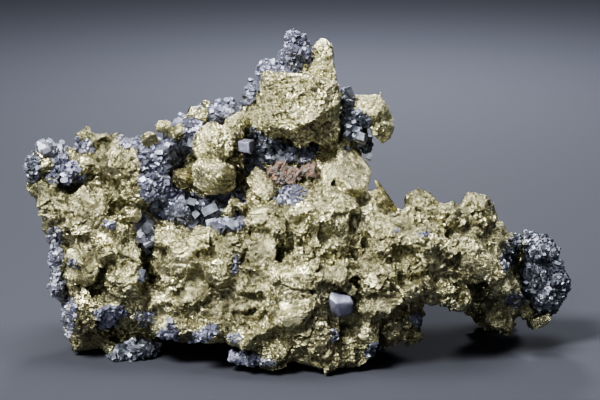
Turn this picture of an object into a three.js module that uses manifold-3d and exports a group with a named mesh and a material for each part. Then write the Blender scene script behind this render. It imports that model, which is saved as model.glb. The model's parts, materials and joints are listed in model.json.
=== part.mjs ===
// A cabinet specimen: chalcopyrite crystals grown into one brassy mass, with crusts and single crystals of
// galena and a little carbonate. Millimetres, +Z up, +X along its length; its front faces -Y.
// The origin is at floor level, in the middle of the specimen's box.

import * as THREE from "three";
import { ConvexGeometry } from "three/addons/geometries/ConvexGeometry.js";
import { ConvexHull } from "three/addons/math/ConvexHull.js";
import { mergeVertices } from "three/addons/utils/BufferGeometryUtils.js";
import Module from "manifold-3d";

const wasm = await Module();
wasm.setup();

// ---- Driving dimensions, in millimetres and degrees ----

// The front is described as a collector sees it, looking slightly down on the specimen: a place is given by how
// far across and how far up it appears, and by its true depth. Depth grows away from the front.
const SIGHT_TILT = THREE.MathUtils.degToRad(12);
const SIGHT_DISTANCE = 900;
const SIGHT_CENTRE = new THREE.Vector3(0.9, 0, 54.6);
const CENTRE_UP = 62.8; // how far up the centre of the view appears

const MIDDLE = new THREE.Vector3(0.2, -4.2, 0); // the middle of the finished box, before it is moved to the origin
const SEAT_GAP = 0.35; // between a crystal and the seat it grew on
const FLOOR_SLAB = 60; // thickness of the block that trims the feet flat
const SPAN = 400; // longer than the specimen each way

// ---- Directions that the crystal forms are cut along ----

const CUBE_FACES = [[1, 0, 0], [-1, 0, 0], [0, 1, 0], [0, -1, 0], [0, 0, 1], [0, 0, -1]];
const CUBE_CORNERS = [
  [1, 1, 1], [1, -1, -1], [-1, 1, -1], [-1, -1, 1],
  [-1, -1, -1], [-1, 1, 1], [1, -1, 1], [1, 1, -1],
];
const SPHENOID_FACES = CUBE_CORNERS.slice(0, 4);
const SPHENOID_TIPS = CUBE_CORNERS.slice(4);
const GRAIN_FACES = 8;
const CORE_FACES = 14;

// ---- Lumps of the brassy mass ----
// Each row: across, up and depth of its middle, then half its width, height and depth, then its form.

const LEFT_END = [
  [-96, 70, -2, 4.2, 6, 7, "grain"], // left tip
  [-90, 64, -9, 6, 7, 8, "grain"], // rough knob
  [-87, 75, 1, 8, 6, 9, "block"],
  [-92, 80, 5, 5, 4.5, 7, "grain"],
  [-75.5, 83.5, 1, 6.5, 4, 7, "block"], // ridged knob on the top edge
  [-65, 83, 6, 5.5, 4, 8, "grain"],
  [-57.5, 82.5, 7, 5, 4, 8, "grain"],
  [-75, 76, -4, 6, 5, 8, "grain"],
  [-65, 76, -8, 7.5, 6.5, 9, "grain"], // round mass
  [-60.5, 66, -12, 6.5, 5, 8, "block"],
  [-91, 53, -2, 4.7, 7, 9, "grain"],
  [-77.5, 58.5, -12, 8, 3.6, 8, "block"],
];

const LEFT_FLANK = [
  [-69.6, 49.5, -19, 6.3, 7.6, 8, "grain"], // dome
  [-81, 48, -13, 7, 7, 8, "grain"],
  [-78.5, 37.5, -18, 7, 6, 7, "grain"],
  [-61, 35, -22, 7, 7.5, 8, "block"],
  [-86.5, 35, -6, 5, 14, 8, "grain"],
  [-75.5, 25, -18, 8.5, 7, 8, "grain"],
  [-82.5, 17.5, -10, 5.5, 7, 8, "grain"],
  [-64, 21, -15, 7, 7, 9, "block"],
  [-78, 10.5, -7, 6, 5.5, 8, "grain"], // left foot
  [-66, 8.5, -13, 8, 7, 8, "grain"],
];

const CENTRE_LEFT = [
  [-47.5, 45.5, -21, 5.5, 8.5, 8, "wedge"],
  [-39.5, 44, -24, 7.5, 6.5, 8, "block"],
  [-50, 27, -23, 7, 8, 8, "block"],
  [-38.5, 28, -28, 7.5, 6.5, 8, "block"], // flat pale facet
  [-42, 15, -26, 9, 8, 9, "grain"],
  [-26.5, 18, -31, 10, 9.5, 9, "grain"],
  [-26, 34.5, -29, 9, 9, 9, "block"],
  [-24, 50, -24, 7, 6.5, 8, "grain"],
];

const CENTRE = [
  [-12.7, 54.5, -26, 7.5, 6, 8, "block"],
  [-13.5, 43.5, -28, 7, 7, 8, "block"],
  [1, 61, -23, 9, 5.5, 8, "block"], // ridge under the carbonate
  [11, 61.5, -21, 7, 5.5, 8, "grain"],
  [6.5, 51, -28, 9, 7, 9, "block"],
  [17.5, 50, -24, 7, 8, 8, "grain"],
  [-7.5, 31.6, -34, 9, 8, 9, "block"],
  [9, 31, -34, 10, 9, 9, "grain"],
  [-1.3, 20.5, -36, 9, 6, 8, "block"], // blade-like facet
  [-12.3, 10.5, -35, 10, 8, 9, "grain"],
  [7.5, 9.5, -36, 11, 10.6, 10, "grain"], // front foot
  [23, 29, -29, 7, 10, 9, "grain"],
  [24.5, 15.5, -29, 8, 10.5, 10, "grain"],
];

const RIGHT_LOBE = [
  [27, 54, -19, 4.5, 9, 8, "grain"],
  [46.4, 60, -15, 5.5, 5, 8, "grain"],
  [56, 56, -14, 6.5, 5.5, 9, "grain"],
  [67.3, 55.5, -12, 7.3, 9.8, 10, "grain"], // rounded knob
  [34.5, 49.5, -25, 8, 9, 9, "grain"],
  [48, 46, -28, 9.5, 9.5, 10, "grain"],
  [60.5, 42.5, -25, 8, 8, 9, "block"],
  [71, 43.5, -15, 8, 7, 10, "grain"],
  [33.5, 32, -30, 8, 10, 9, "grain"],
  [47, 31.5, -29, 9, 8, 9, "block"],
  [59, 29, -24, 5.5, 6.5, 8, "block"],
  [75, 32, -11, 8, 10, 10, "grain"],
  [75, 20.5, -3, 8, 6.5, 9, "grain"],
  [41.5, 16, -20, 5.8, 6.5, 7, "grain"], // hanging knob
  [35, 18, -24, 5.5, 9, 8, "grain"],
];

const SUMMIT_BED = [
  [-14, 62, -13, 8, 6, 8, "grain"],
  [3, 74, -5, 12, 10, 9, "grain"],
  [16, 78, 0, 8, 12, 10, "grain"],
  [21, 92, 6, 7, 10, 9, "grain"],
];

// The inside of the mass and its hidden rear feet. Each row: x, y, z of its middle, then half its size along each.
const CORES = [
  [-72, 9, 36, 21, 24, 33],
  [-42, 6, 26, 26, 27, 27],
  [-8, 4, 30, 30, 33, 33],
  [20, 6, 33, 22, 28, 27],
  [48, 4, 34, 24, 22, 16],
  [71, 6, 32, 13, 16, 14],
  [-4, 12, 78, 24, 18, 28],
  [-34, 18, 62, 20, 16, 22],
  [-74, 6, 61, 19, 12, 13.5],
];
const REAR_FEET = [
  [74, 24, 9, 9, 9, 12],
  [66, 20, 22, 10, 10, 10],
  [-20, 30, 8, 14, 9, 12],
  [-70, 22, 8, 12, 10, 12],
];

// The top edge of the specimen as it appears from the front, left to right: across, up.
const SKYLINE = [
  [-101, 62], [-96, 80], [-60, 86], [-46, 91], [-37, 98], [-21, 104], [-9, 114], [6, 121], [14, 108], [22, 96],
  [26, 64], [37, 64], [45, 64], [58, 58], [66, 62], [72, 59], [76, 51], [85, 49], [92, 42], [98, 31], [101, 22],
];

// ---- Numbers that look random but are the same every time ----

function randomNumbers(seed) {
  let state = seed >>> 0;
  return () => {
    state = (state + 0x6d2b79f5) >>> 0;
    let bits = state;
    bits = Math.imul(bits ^ (bits >>> 15), bits | 1);
    bits ^= bits + Math.imul(bits ^ (bits >>> 7), bits | 61);
    return ((bits ^ (bits >>> 14)) >>> 0) / 2 ** 32;
  };
}

function between(random, low, high) {
  return low + (high - low) * random();
}

// A lump's own look follows from where it sits.
function randomAt(centre) {
  return randomNumbers(Math.round(Math.abs(centre.x * 71 + centre.y * 13 + centre.z * 137)) + 1);
}

// ---- Places ----

const SIGHT_LINE = new THREE.Vector3(0, Math.cos(SIGHT_TILT), -Math.sin(SIGHT_TILT));
const SIGHT_UP = new THREE.Vector3(0, Math.sin(SIGHT_TILT), Math.cos(SIGHT_TILT));
const EYE = SIGHT_CENTRE.clone().addScaledVector(SIGHT_LINE, -SIGHT_DISTANCE);

function seen(across, up, depth) {
  const ray = SIGHT_CENTRE.clone()
    .addScaledVector(SIGHT_UP, up - CENTRE_UP)
    .setX(across)
    .sub(EYE);
  return EYE.clone().addScaledVector(ray, (depth - EYE.y) / ray.y);
}

// How far up a point appears from the front.
function appearsUp(point) {
  const ray = point.clone().sub(EYE);
  const onPlane = ray.multiplyScalar(SIGHT_DISTANCE / ray.dot(SIGHT_LINE)).add(EYE);
  return onPlane.sub(SIGHT_CENTRE).dot(SIGHT_UP) + CENTRE_UP;
}

function skylineAt(across) {
  const next = SKYLINE.findIndex(([place]) => place > across);
  const [x1, up1] = SKYLINE[Math.max(next, 1)];
  const [x0, up0] = SKYLINE[Math.max(next, 1) - 1];
  return THREE.MathUtils.mapLinear(across, x0, x1, up0, up1);
}

// ---- Solids ----

function solid(points) {
  const geometry = new ConvexGeometry(points);
  geometry.deleteAttribute("normal");
  geometry.deleteAttribute("uv");
  const merged = mergeVertices(geometry, 1e-4);
  return new wasm.Manifold(new wasm.Mesh({
    numProp: 3,
    vertProperties: new Float32Array(merged.attributes.position.array),
    triVerts: new Uint32Array(merged.index.array),
  }));
}

// The corners of a crystal from its faces: each corner is a face of the hull of the faces' polar points.
function corners(faces) {
  const hull = new ConvexHull().setFromPoints(
    faces.map(({ normal, distance }) => normal.clone().divideScalar(distance)),
  );
  return hull.faces.map((face) => face.normal.clone().divideScalar(face.constant));
}

function facesAlong(directions, random, nearest, furthest, wander) {
  return directions.map((direction) => {
    const stray = [0, 1, 2].map(() => between(random, -wander, wander));
    const normal = new THREE.Vector3(...direction).normalize().add(new THREE.Vector3(...stray)).normalize();
    return { normal, distance: between(random, nearest, furthest) };
  });
}

function evenDirections(count) {
  const goldenAngle = Math.PI * (3 - Math.sqrt(5));
  return Array.from({ length: count }, (_, i) => {
    const height = 1 - (2 * i + 1) / count;
    const radius = Math.sqrt(1 - height * height);
    return [radius * Math.cos(goldenAngle * i), radius * Math.sin(goldenAngle * i), height];
  });
}

const FORMS = {
  grain: (random) => facesAlong(evenDirections(GRAIN_FACES), random, 0.85, 1.05, 0.25),
  core: (random) => facesAlong(evenDirections(CORE_FACES), random, 0.9, 1.05, 0.15),
  block: (random) => [
    ...facesAlong(CUBE_FACES, random, 0.8, 1, 0.12),
    ...facesAlong(CUBE_CORNERS.slice(0, 3), random, 1, 1.25, 0.15),
  ],
  wedge: (random) => [
    ...facesAlong(SPHENOID_FACES, random, 0.5, 0.6, 0.08),
    ...facesAlong(SPHENOID_TIPS, random, 0.95, 1.15, 0.08),
  ],
  cube: (random) => facesAlong(CUBE_FACES, random, 0.95, 1, 0.03),
  bevelledCube: (random) => [
    ...facesAlong(CUBE_FACES, random, 0.97, 1, 0.01),
    ...facesAlong(CUBE_CORNERS, random, 1.35, 1.45, 0.02),
  ],
};

function randomTurn(random) {
  return new THREE.Quaternion().setFromEuler(
    new THREE.Euler(...[0, 1, 2].map(() => between(random, -Math.PI, Math.PI))),
  );
}

function degreesTurn(lean, roll, turn) {
  return new THREE.Quaternion().setFromEuler(
    new THREE.Euler(...[lean, roll, turn].map(THREE.MathUtils.degToRad)),
  );
}

function stretched(points, half) {
  const box = new THREE.Box3().setFromPoints(points);
  const middle = box.getCenter(new THREE.Vector3());
  const size = box.getSize(new THREE.Vector3());
  return points.map((point) => point.clone().sub(middle).divide(size).multiplyScalar(2).multiply(half));
}

// A lump turned at random inside its own box.
function lump(form, centre, half, seedRandom = randomAt(centre)) {
  const turn = randomTurn(seedRandom);
  const points = corners(FORMS[form](seedRandom)).map((point) => point.applyQuaternion(turn));
  return { centre, points: stretched(points, half).map((point) => point.add(centre)) };
}

// A crystal with its own sides first stretched to size and then turned as a whole.
function crystal(form, centre, half, turn, seedRandom = randomAt(centre)) {
  const points = stretched(corners(FORMS[form](seedRandom)), half);
  return { centre, points: points.map((point) => point.applyQuaternion(turn).add(centre)) };
}

function rowLump([across, up, depth, halfX, halfZ, halfY, form]) {
  return lump(form, seen(across, up, depth), new THREE.Vector3(halfX, halfY, halfZ));
}

function coreLump([x, y, z, halfX, halfY, halfZ]) {
  return lump("core", new THREE.Vector3(x, y, z), new THREE.Vector3(halfX, halfY, halfZ));
}

// A convex piece pushed out by the seat gap on every side.
function roomy({ centre, points }) {
  const faces = new ConvexHull().setFromPoints(points).faces;
  const nearest = Math.min(...faces.map((face) => face.distanceToPoint(centre) * -1));
  const growth = 1 + SEAT_GAP / Math.max(nearest, SEAT_GAP);
  return { centre, points: points.map((point) => point.clone().sub(centre).multiplyScalar(growth).add(centre)) };
}

function joined(pieces) {
  return wasm.Manifold.union(pieces.map(({ points }) => solid(points)));
}

// The biggest connected body, without sealed hollows.
function wholeBody(body) {
  return body.decompose().reduce((best, next) => (next.volume() > best.volume() ? next : best));
}

function floorBlock() {
  const box = new THREE.BoxGeometry(SPAN, SPAN, FLOOR_SLAB).translate(0, 0, -FLOOR_SLAB / 2);
  box.deleteAttribute("normal");
  box.deleteAttribute("uv");
  const merged = mergeVertices(box);
  return new wasm.Manifold(new wasm.Mesh({
    numProp: 3,
    vertProperties: new Float32Array(merged.attributes.position.array),
    triVerts: new Uint32Array(merged.index.array),
  }));
}

// ---- The brassy mass ----

// The rear of the specimen: rough lumps over the far side of each core.
function rearLumps() {
  return CORES.flatMap(([x, y, z, halfX, halfY, halfZ], core) => {
    const random = randomNumbers(500 + core);
    const count = Math.round((halfX * halfZ) / 420);
    return Array.from({ length: count }, (_, i) => {
      const swing = 2 * Math.PI * (i / count + between(random, 0, 0.12));
      const reach = between(random, 0.35, 0.75);
      const across = Math.cos(swing) * reach;
      const rise = Math.sin(swing) * reach;
      const back = Math.sqrt(1 - across * across - rise * rise);
      const centre = new THREE.Vector3(x + across * halfX, y + back * halfY * 0.9, z + rise * halfZ);
      const half = new THREE.Vector3(
        between(random, 7, 11),
        between(random, 6, 9),
        between(random, 6, 10),
      );
      const edges = [centre.x - half.x / 2, centre.x + half.x / 2].map(skylineAt);
      centre.z -= Math.max(0, appearsUp(centre) + half.z - Math.min(...edges));
      return lump(i % 3 ? "grain" : "block", centre, half, random);
    });
  });
}

function chalcopyriteMass() {
  return [
    ...CORES.map(coreLump),
    ...REAR_FEET.map(coreLump),
    ...[LEFT_END, LEFT_FLANK, CENTRE_LEFT, CENTRE, RIGHT_LOBE, SUMMIT_BED].flat().map(rowLump),
    ...rearLumps(),
  ];
}

// ---- Chalcopyrite crystals that stand on the mass ----

function summitCrystal() {
  return [
    crystal("block", seen(-3.5, 98, -7), new THREE.Vector3(11, 10.5, 12), degreesTurn(-14, 8, 24)),
    rowLump([11.5, 99, -5, 5.5, 8.5, 8, "grain"]),
    rowLump([5.5, 86.5, -10, 8.5, 6.5, 8, "grain"]),
    rowLump([13.5, 88, -6, 4.5, 5, 7, "block"]),
  ];
}

function peakCrystal() {
  return [
    crystal("wedge", seen(8, 112.5, 4), new THREE.Vector3(6.5, 6.5, 9.5), degreesTurn(0, -10, 30)),
  ];
}

function rightKnobCrystal() {
  return [
    crystal("block", seen(27.5, 94.5, -2), new THREE.Vector3(6.8, 6.8, 6.5), degreesTurn(10, 6, 30)),
    rowLump([28.5, 87.5, -2, 4.5, 4, 6, "grain"]),
  ];
}

function stackedCrystalPair() {
  return [
    crystal("block", seen(-29, 86, -12), new THREE.Vector3(8.3, 8, 8), degreesTurn(-12, -8, 30)),
    rowLump([-21, 90, -9, 3.2, 5, 5, "wedge"]),
    crystal("block", seen(-29.5, 72.5, -15), new THREE.Vector3(6.8, 7.5, 8), degreesTurn(-10, 8, 38)),
  ];
}

function smallCrystalByPair() {
  return [crystal("block", seen(-41.5, 71, -12), new THREE.Vector3(4, 4.5, 4.2), degreesTurn(-10, 14, 20))];
}

function pointedCrystal() {
  return [crystal("wedge", seen(-12.3, 67.5, -15), new THREE.Vector3(7.5, 7.5, 8.5), degreesTurn(10, 24, 20))];
}

function cleavedCrystal() {
  return [
    crystal("block", seen(20.5, 74, -9), new THREE.Vector3(6.6, 6.5, 8.5), degreesTurn(-22, 6, -14)),
    crystal("block", seen(13, 73.5, -11), new THREE.Vector3(5.5, 6, 7.5), degreesTurn(-16, -8, 22)),
  ];
}

function paleCrystal() {
  return [crystal("wedge", seen(-61, 58, -20), new THREE.Vector3(4, 4, 3.8), degreesTurn(14, 8, 40))];
}

function longBlade() {
  return [crystal("cube", seen(33, 64, -14), new THREE.Vector3(1.1, 4.5, 7.6), degreesTurn(0, -34, 16))];
}

function shortBlade() {
  return [crystal("cube", seen(30.5, 62, -20), new THREE.Vector3(0.9, 3.6, 5.2), degreesTurn(6, -40, 8))];
}

function endFlake() {
  return [crystal("block", seen(88.5, 18.5, -4), new THREE.Vector3(4.4, 5, 2.2), degreesTurn(-10, -14, 12))];
}

// ---- Galena ----

function galenaCube() {
  return [crystal("bevelledCube", seen(-17.8, 81.5, -14), new THREE.Vector3(4.2, 4.4, 3.8), degreesTurn(-12, 4, 12))];
}

function perchedGalenaCrystal() {
  return [
    crystal("bevelledCube", seen(16, 24.2, -42), new THREE.Vector3(4.9, 4.5, 4), degreesTurn(-8, 3, -10)),
  ];
}

// Cubes strewn over a patch. Each patch: across, up and depth of its middle, its reach across and up, how many.
function cubesOver([across, up, depth, reachAcross, reachUp, count], smallest, largest) {
  const random = randomAt(seen(across, up, depth));
  return Array.from({ length: count }, () => {
    const swing = between(random, 0, 2 * Math.PI);
    const reach = Math.sqrt(random());
    const centre = seen(
      across + Math.cos(swing) * reach * reachAcross,
      up + Math.sin(swing) * reach * reachUp,
      depth + between(random, -1, 1),
    );
    const half = between(random, smallest, largest);
    return crystal("cube", centre, new THREE.Vector3(half, half, half), randomTurn(random), random);
  });
}

const SLOPE_BEDS = [
  [-17, 99, 1, 6, 10, 6, "grain"],
  [-28, 93, 1, 9, 7, 6, "grain"],
  [-40, 87, 1, 9, 8, 6, "grain"],
  [-50, 77, -1, 8, 9, 6, "grain"],
  [-51, 64, -6, 8, 10, 7, "grain"],
  [-41, 58, -9, 11, 8, 7, "grain"],
  [-28, 60, -9, 10, 7, 6, "grain"],
];
const SLOPE_PATCHES = [
  [-36, 91, -5, 5, 5, 2],
  [-50, 77, -7, 6, 6, 2],
  [-44, 56, -16, 8, 5, 2],
];

function galenaSlopeCrust() {
  return [...SLOPE_BEDS.map(rowLump), ...SLOPE_PATCHES.flatMap((patch) => cubesOver(patch, 1.6, 2.6))];
}

function galenaSummitCluster() {
  return [
    rowLump([-1, 114, 2, 6.5, 8.5, 6, "grain"]),
    rowLump([-10, 110, 3, 6, 5, 5, "grain"]),
    ...cubesOver([0, 118, -1, 5.5, 5, 5], 1.7, 2.6),
  ];
}

function galenaRightCluster() {
  return [
    rowLump([18.5, 97.5, -1, 4, 7.5, 6, "grain"]),
    rowLump([20, 90, -3, 3.5, 7, 6, "core"]),
    rowLump([22.5, 84, 0, 5.5, 6, 6, "grain"]),
    ...cubesOver([21, 84, -5, 4, 4, 2], 1.5, 2.4),
  ];
}

function galenaEndDruse() {
  return [
    rowLump([86, 40, 3, 8, 12.5, 13, "grain"]),
    rowLump([91, 31, 1, 8.5, 12, 12, "core"]),
    ...cubesOver([88, 40, -8, 8, 9, 4], 1.5, 2.6),
    ...cubesOver([91, 29, -7, 7, 7, 3], 1.5, 2.6),
  ];
}

// Upright grey blades round the left end. Each row: across, up, depth, half length, half height, lean.
const RIM_BLADES = [
  [-97, 76, -10, 2.6, 3.2, 24],
  [-92.5, 80.5, -9, 3, 2.6, 12],
  [-91, 73, -13, 2.4, 2.8, -26],
  [-83.5, 71, -12, 2.8, 2.4, 20],
];

function galenaLeftRim() {
  return [
    rowLump([-91, 77, -8, 7.5, 4.5, 5, "grain"]),
    rowLump([-84, 73.5, -9, 6.5, 4.5, 4, "grain"]),
    ...RIM_BLADES.map(([across, up, depth, halfLength, halfHeight, lean]) =>
      crystal(
        "cube",
        seen(across, up, depth),
        new THREE.Vector3(halfLength, 0.8, halfHeight),
        degreesTurn(lean, lean / 2, lean * 1.5),
      )),
  ];
}

function galenaLeftPatch() {
  return [
    rowLump([-69, 20, -18, 6, 4, 6, "grain"]),
    ...cubesOver([-68, 20, -22, 5.5, 3.5, 2], 1.1, 1.8),
  ];
}

function galenaLeftColumn() {
  return [
    rowLump([-88.5, 42, -12, 3, 6.5, 4, "grain"]),
    rowLump([-87.5, 32, -12, 3, 6, 4, "grain"]),
    ...cubesOver([-89, 37, -15, 1.5, 8, 1], 1.1, 1.7),
  ];
}

function galenaLeftFoot() {
  return [
    rowLump([-64, 5, -20, 7.5, 3.4, 4.5, "grain"]),
    ...cubesOver([-64, 5, -23, 6, 2.5, 2], 1.1, 1.8),
  ];
}

function galenaFootFringe() {
  return [
    rowLump([-17, 5, -38, 9, 2.6, 4, "grain"]),
    ...cubesOver([-16, 4.5, -41, 8, 2.2, 3], 1, 1.6),
  ];
}

function galenaFootKnob() {
  return [
    rowLump([12.5, 13.3, -41, 2.6, 2.6, 4, "block"]),
  ];
}

// ---- Carbonate ----

function carbonateCrust() {
  return [
    rowLump([-7.5, 72, -12, 5, 6.3, 4.5, "grain"]),
    rowLump([-1, 72, -12, 5.5, 4, 4, "grain"]),
    rowLump([5.3, 73, -13, 4, 3.8, 4, "grain"]),
  ];
}

// ---- Putting it together ----

const BRASS = { color: 0xb3a463, roughness: 0.42, metalness: 0.9 };
const GREENISH_BRASS = { color: 0x9c9560, roughness: 0.38, metalness: 0.9 };
const PALE_BRASS = { color: 0xcfc487, roughness: 0.3, metalness: 0.9 };
const LEAD_GREY = { color: 0x8e93a8, roughness: 0.35, metalness: 0.9 };
const DARK_GREY = { color: 0x4e535c, roughness: 0.4, metalness: 0.85 };
const ORANGE_PINK = { color: 0xb9856a, roughness: 0.7, metalness: 0 };

// Earlier pieces keep their whole shape, and later ones are cut back from them.
const PIECES = [
  ["galena_cube", galenaCube, LEAD_GREY],
  ["perched_galena_crystal", perchedGalenaCrystal, LEAD_GREY],
  ["long_blade", longBlade, GREENISH_BRASS],
  ["short_blade", shortBlade, GREENISH_BRASS],
  ["pale_crystal", paleCrystal, PALE_BRASS],
  ["summit_crystal", summitCrystal, BRASS],
  ["right_knob_crystal", rightKnobCrystal, PALE_BRASS],
  ["peak_crystal", peakCrystal, BRASS],
  ["stacked_crystal_pair", stackedCrystalPair, BRASS],
  ["small_crystal_by_pair", smallCrystalByPair, GREENISH_BRASS],
  ["pointed_crystal", pointedCrystal, BRASS],
  ["cleaved_crystal", cleavedCrystal, PALE_BRASS],
  ["galena_foot_knob", galenaFootKnob, DARK_GREY],
  ["end_flake", endFlake, BRASS],
  ["chalcopyrite_mass", chalcopyriteMass, BRASS],
  ["carbonate_crust", carbonateCrust, ORANGE_PINK],
  ["galena_slope_crust", galenaSlopeCrust, LEAD_GREY],
  ["galena_summit_cluster", galenaSummitCluster, LEAD_GREY],
  ["galena_right_cluster", galenaRightCluster, LEAD_GREY],
  ["galena_end_druse", galenaEndDruse, DARK_GREY],
  ["galena_left_rim", galenaLeftRim, LEAD_GREY],
  ["galena_left_patch", galenaLeftPatch, LEAD_GREY],
  ["galena_left_column", galenaLeftColumn, LEAD_GREY],
  ["galena_left_foot", galenaLeftFoot, DARK_GREY],
  ["galena_foot_fringe", galenaFootFringe, LEAD_GREY],
];

function meshOf(name, body, material) {
  const { vertProperties, triVerts } = body.getMesh();
  const geometry = new THREE.BufferGeometry();
  geometry.setAttribute("position", new THREE.BufferAttribute(new Float32Array(vertProperties), 3));
  geometry.setIndex(new THREE.BufferAttribute(new Uint32Array(triVerts), 1));
  geometry.computeVertexNormals();
  const mesh = new THREE.Mesh(geometry, new THREE.MeshStandardMaterial(material));
  mesh.name = name;
  return mesh;
}

const specimen = new THREE.Group();
specimen.position.copy(MIDDLE).negate();
const floor = floorBlock();
let taken = null;
for (const [name, build, material] of PIECES) {
  const pieces = build();
  const trimmed = joined(pieces).subtract(floor);
  const body = wholeBody(taken ? trimmed.subtract(taken) : trimmed);
  specimen.add(meshOf(name, body, material));
  const room = joined(pieces.map(roomy));
  taken = taken ? taken.add(room) : room;
}

export default specimen;
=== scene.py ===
import json
import math

import bpy
import numpy as np
from mathutils import Euler, Matrix, Vector
from mathutils.bvhtree import BVHTree

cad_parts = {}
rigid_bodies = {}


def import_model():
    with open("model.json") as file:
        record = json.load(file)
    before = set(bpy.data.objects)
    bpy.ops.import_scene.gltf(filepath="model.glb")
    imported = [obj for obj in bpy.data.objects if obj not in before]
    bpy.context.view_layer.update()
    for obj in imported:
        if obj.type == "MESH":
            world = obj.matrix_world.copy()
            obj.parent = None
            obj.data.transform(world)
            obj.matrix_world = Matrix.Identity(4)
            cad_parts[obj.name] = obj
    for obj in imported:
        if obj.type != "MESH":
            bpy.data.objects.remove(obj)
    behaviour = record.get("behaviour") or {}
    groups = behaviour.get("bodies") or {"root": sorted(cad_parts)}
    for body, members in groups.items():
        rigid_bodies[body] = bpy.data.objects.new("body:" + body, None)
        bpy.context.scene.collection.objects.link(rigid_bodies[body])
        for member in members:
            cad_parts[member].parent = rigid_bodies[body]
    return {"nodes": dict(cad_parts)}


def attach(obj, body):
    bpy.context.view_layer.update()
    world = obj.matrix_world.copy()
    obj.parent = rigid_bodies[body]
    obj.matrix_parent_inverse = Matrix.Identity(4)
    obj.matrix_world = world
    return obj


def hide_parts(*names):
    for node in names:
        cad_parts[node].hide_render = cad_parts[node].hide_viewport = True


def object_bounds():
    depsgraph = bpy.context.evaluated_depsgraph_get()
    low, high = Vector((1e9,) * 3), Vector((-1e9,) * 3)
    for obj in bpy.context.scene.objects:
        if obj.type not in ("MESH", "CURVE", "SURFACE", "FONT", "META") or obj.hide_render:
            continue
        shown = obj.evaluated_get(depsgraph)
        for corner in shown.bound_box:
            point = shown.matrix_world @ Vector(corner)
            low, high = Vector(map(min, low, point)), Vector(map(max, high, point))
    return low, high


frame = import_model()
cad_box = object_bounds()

# A cabinet specimen: chalcopyrite crystals grown into one rough brassy mass, with crusts and single
# crystals of galena and a little carbonate. Places on its front are given in millimetres as a collector
# sees them, looking slightly down: how far across and how far up they appear. Meshes are worked in
# millimetres and brought to metres when a piece is finished.

MM = 0.001
MERGE_REACH = 0.002
SKIN_DISTANCE = 0.1  # how far outside of what it covers a new skin lies
CLOSING_VOXEL = 0.9
FINE_VOXEL = 0.3
CRYSTAL_VOXEL = 0.45
MASS_VOXEL = 0.52
# Skins made on the way to the last one are coarser, by these factors.
SOFTENED_SKIN = 1.6
LUMPED_SKIN = 1.5
BLOCKED_SKIN = 1.4
CREASE_ANGLE = math.radians(18)  # edges sharper than this stay crisp

# ---- The way the front is looked at ----

SIGHT_TILT = math.radians(12)
SIGHT_DISTANCE = 900.0
SIGHT_CENTRE = Vector((0.7, 4.2, 54.6))
CENTRE_UP = 62.8  # how far up the middle of the view appears
CENTRE_ACROSS = 0.9
VIEW_WIDTH = 220.2
SENSOR = 36.0
VIEW = "AgX"
LOOK = "AgX - High Contrast"

SIGHT_LINE = Vector((0, math.cos(SIGHT_TILT), -math.sin(SIGHT_TILT)))
SIGHT_UP = Vector((0, math.sin(SIGHT_TILT), math.cos(SIGHT_TILT)))
EYE = SIGHT_CENTRE - SIGHT_LINE * SIGHT_DISTANCE


def seen_ray(across, up):
    target = SIGHT_CENTRE + SIGHT_UP * (up - CENTRE_UP) + Vector((across - CENTRE_ACROSS, 0, 0))
    return (target - EYE).normalized()


# ---- Handling of objects ----


def deselect():
    bpy.ops.object.select_all(action="DESELECT")


def take(piece):
    deselect()
    piece.select_set(True)
    bpy.context.view_layer.objects.active = piece


def put_in_scene(name, data):
    thing = bpy.data.objects.new(name, data)
    bpy.context.scene.collection.objects.link(thing)
    return thing


def open_for_edit(piece, selection, mode=None):
    """Opens a piece in edit mode with everything or nothing selected."""
    take(piece)
    bpy.ops.object.mode_set(mode="EDIT")
    if mode:
        bpy.ops.mesh.select_mode(type=mode)
    bpy.ops.mesh.select_all(action=selection)


def close_edit():
    bpy.ops.object.mode_set(mode="OBJECT")


def finish_with(piece, kind, **settings):
    """Adds one modifier and applies it."""
    take(piece)
    modifier = piece.modifiers.new(kind.title(), kind)
    for name, value in settings.items():
        setattr(modifier, name, value)
    bpy.ops.object.modifier_apply(modifier=modifier.name)


def merged_copy(node):
    """A copy of a frame solid in millimetres, with its loose triangles merged."""
    piece = put_in_scene(node + "_work", frame["nodes"][node].data.copy())
    piece.data.materials.clear()
    piece.data.transform(Matrix.Scale(1 / MM, 4))
    open_for_edit(piece, "SELECT")
    bpy.ops.mesh.remove_doubles(threshold=MERGE_REACH)
    close_edit()
    return piece


def joined(pieces, name):
    take(pieces[0])
    for piece in pieces:
        piece.select_set(True)
    bpy.ops.object.join()
    whole = bpy.context.active_object
    whole.name = name
    whole.data.name = name
    return whole


def triangle_count(piece):
    piece.data.calc_loop_triangles()
    return len(piece.data.loop_triangles)


# ---- Crystal forms, each modelled once ----


def cut_form(cuts, stretch=(1, 1, 1)):
    """A cube cut by planes: each cut is the way its face looks and how far out it lies."""
    deselect()
    bpy.ops.mesh.primitive_cube_add(size=2)
    form = bpy.context.active_object
    bpy.ops.object.mode_set(mode="EDIT")
    for facing, reach in cuts:
        bpy.ops.mesh.select_all(action="SELECT")
        facing = Vector(facing).normalized()
        bpy.ops.mesh.bisect(plane_co=facing * reach, plane_no=facing, use_fill=True, clear_outer=True)
    bpy.ops.mesh.select_all(action="SELECT")
    bpy.ops.transform.resize(value=stretch)
    bpy.ops.mesh.quads_convert_to_tris()
    close_edit()
    points = np.array([vertex.co for vertex in form.data.vertices])
    points = 2 * (points - points.min(axis=0)) / np.ptp(points, axis=0) - 1
    faces = np.array([face.vertices[:] for face in form.data.polygons])
    bpy.data.objects.remove(form)
    return points * np.array(stretch), faces


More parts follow.
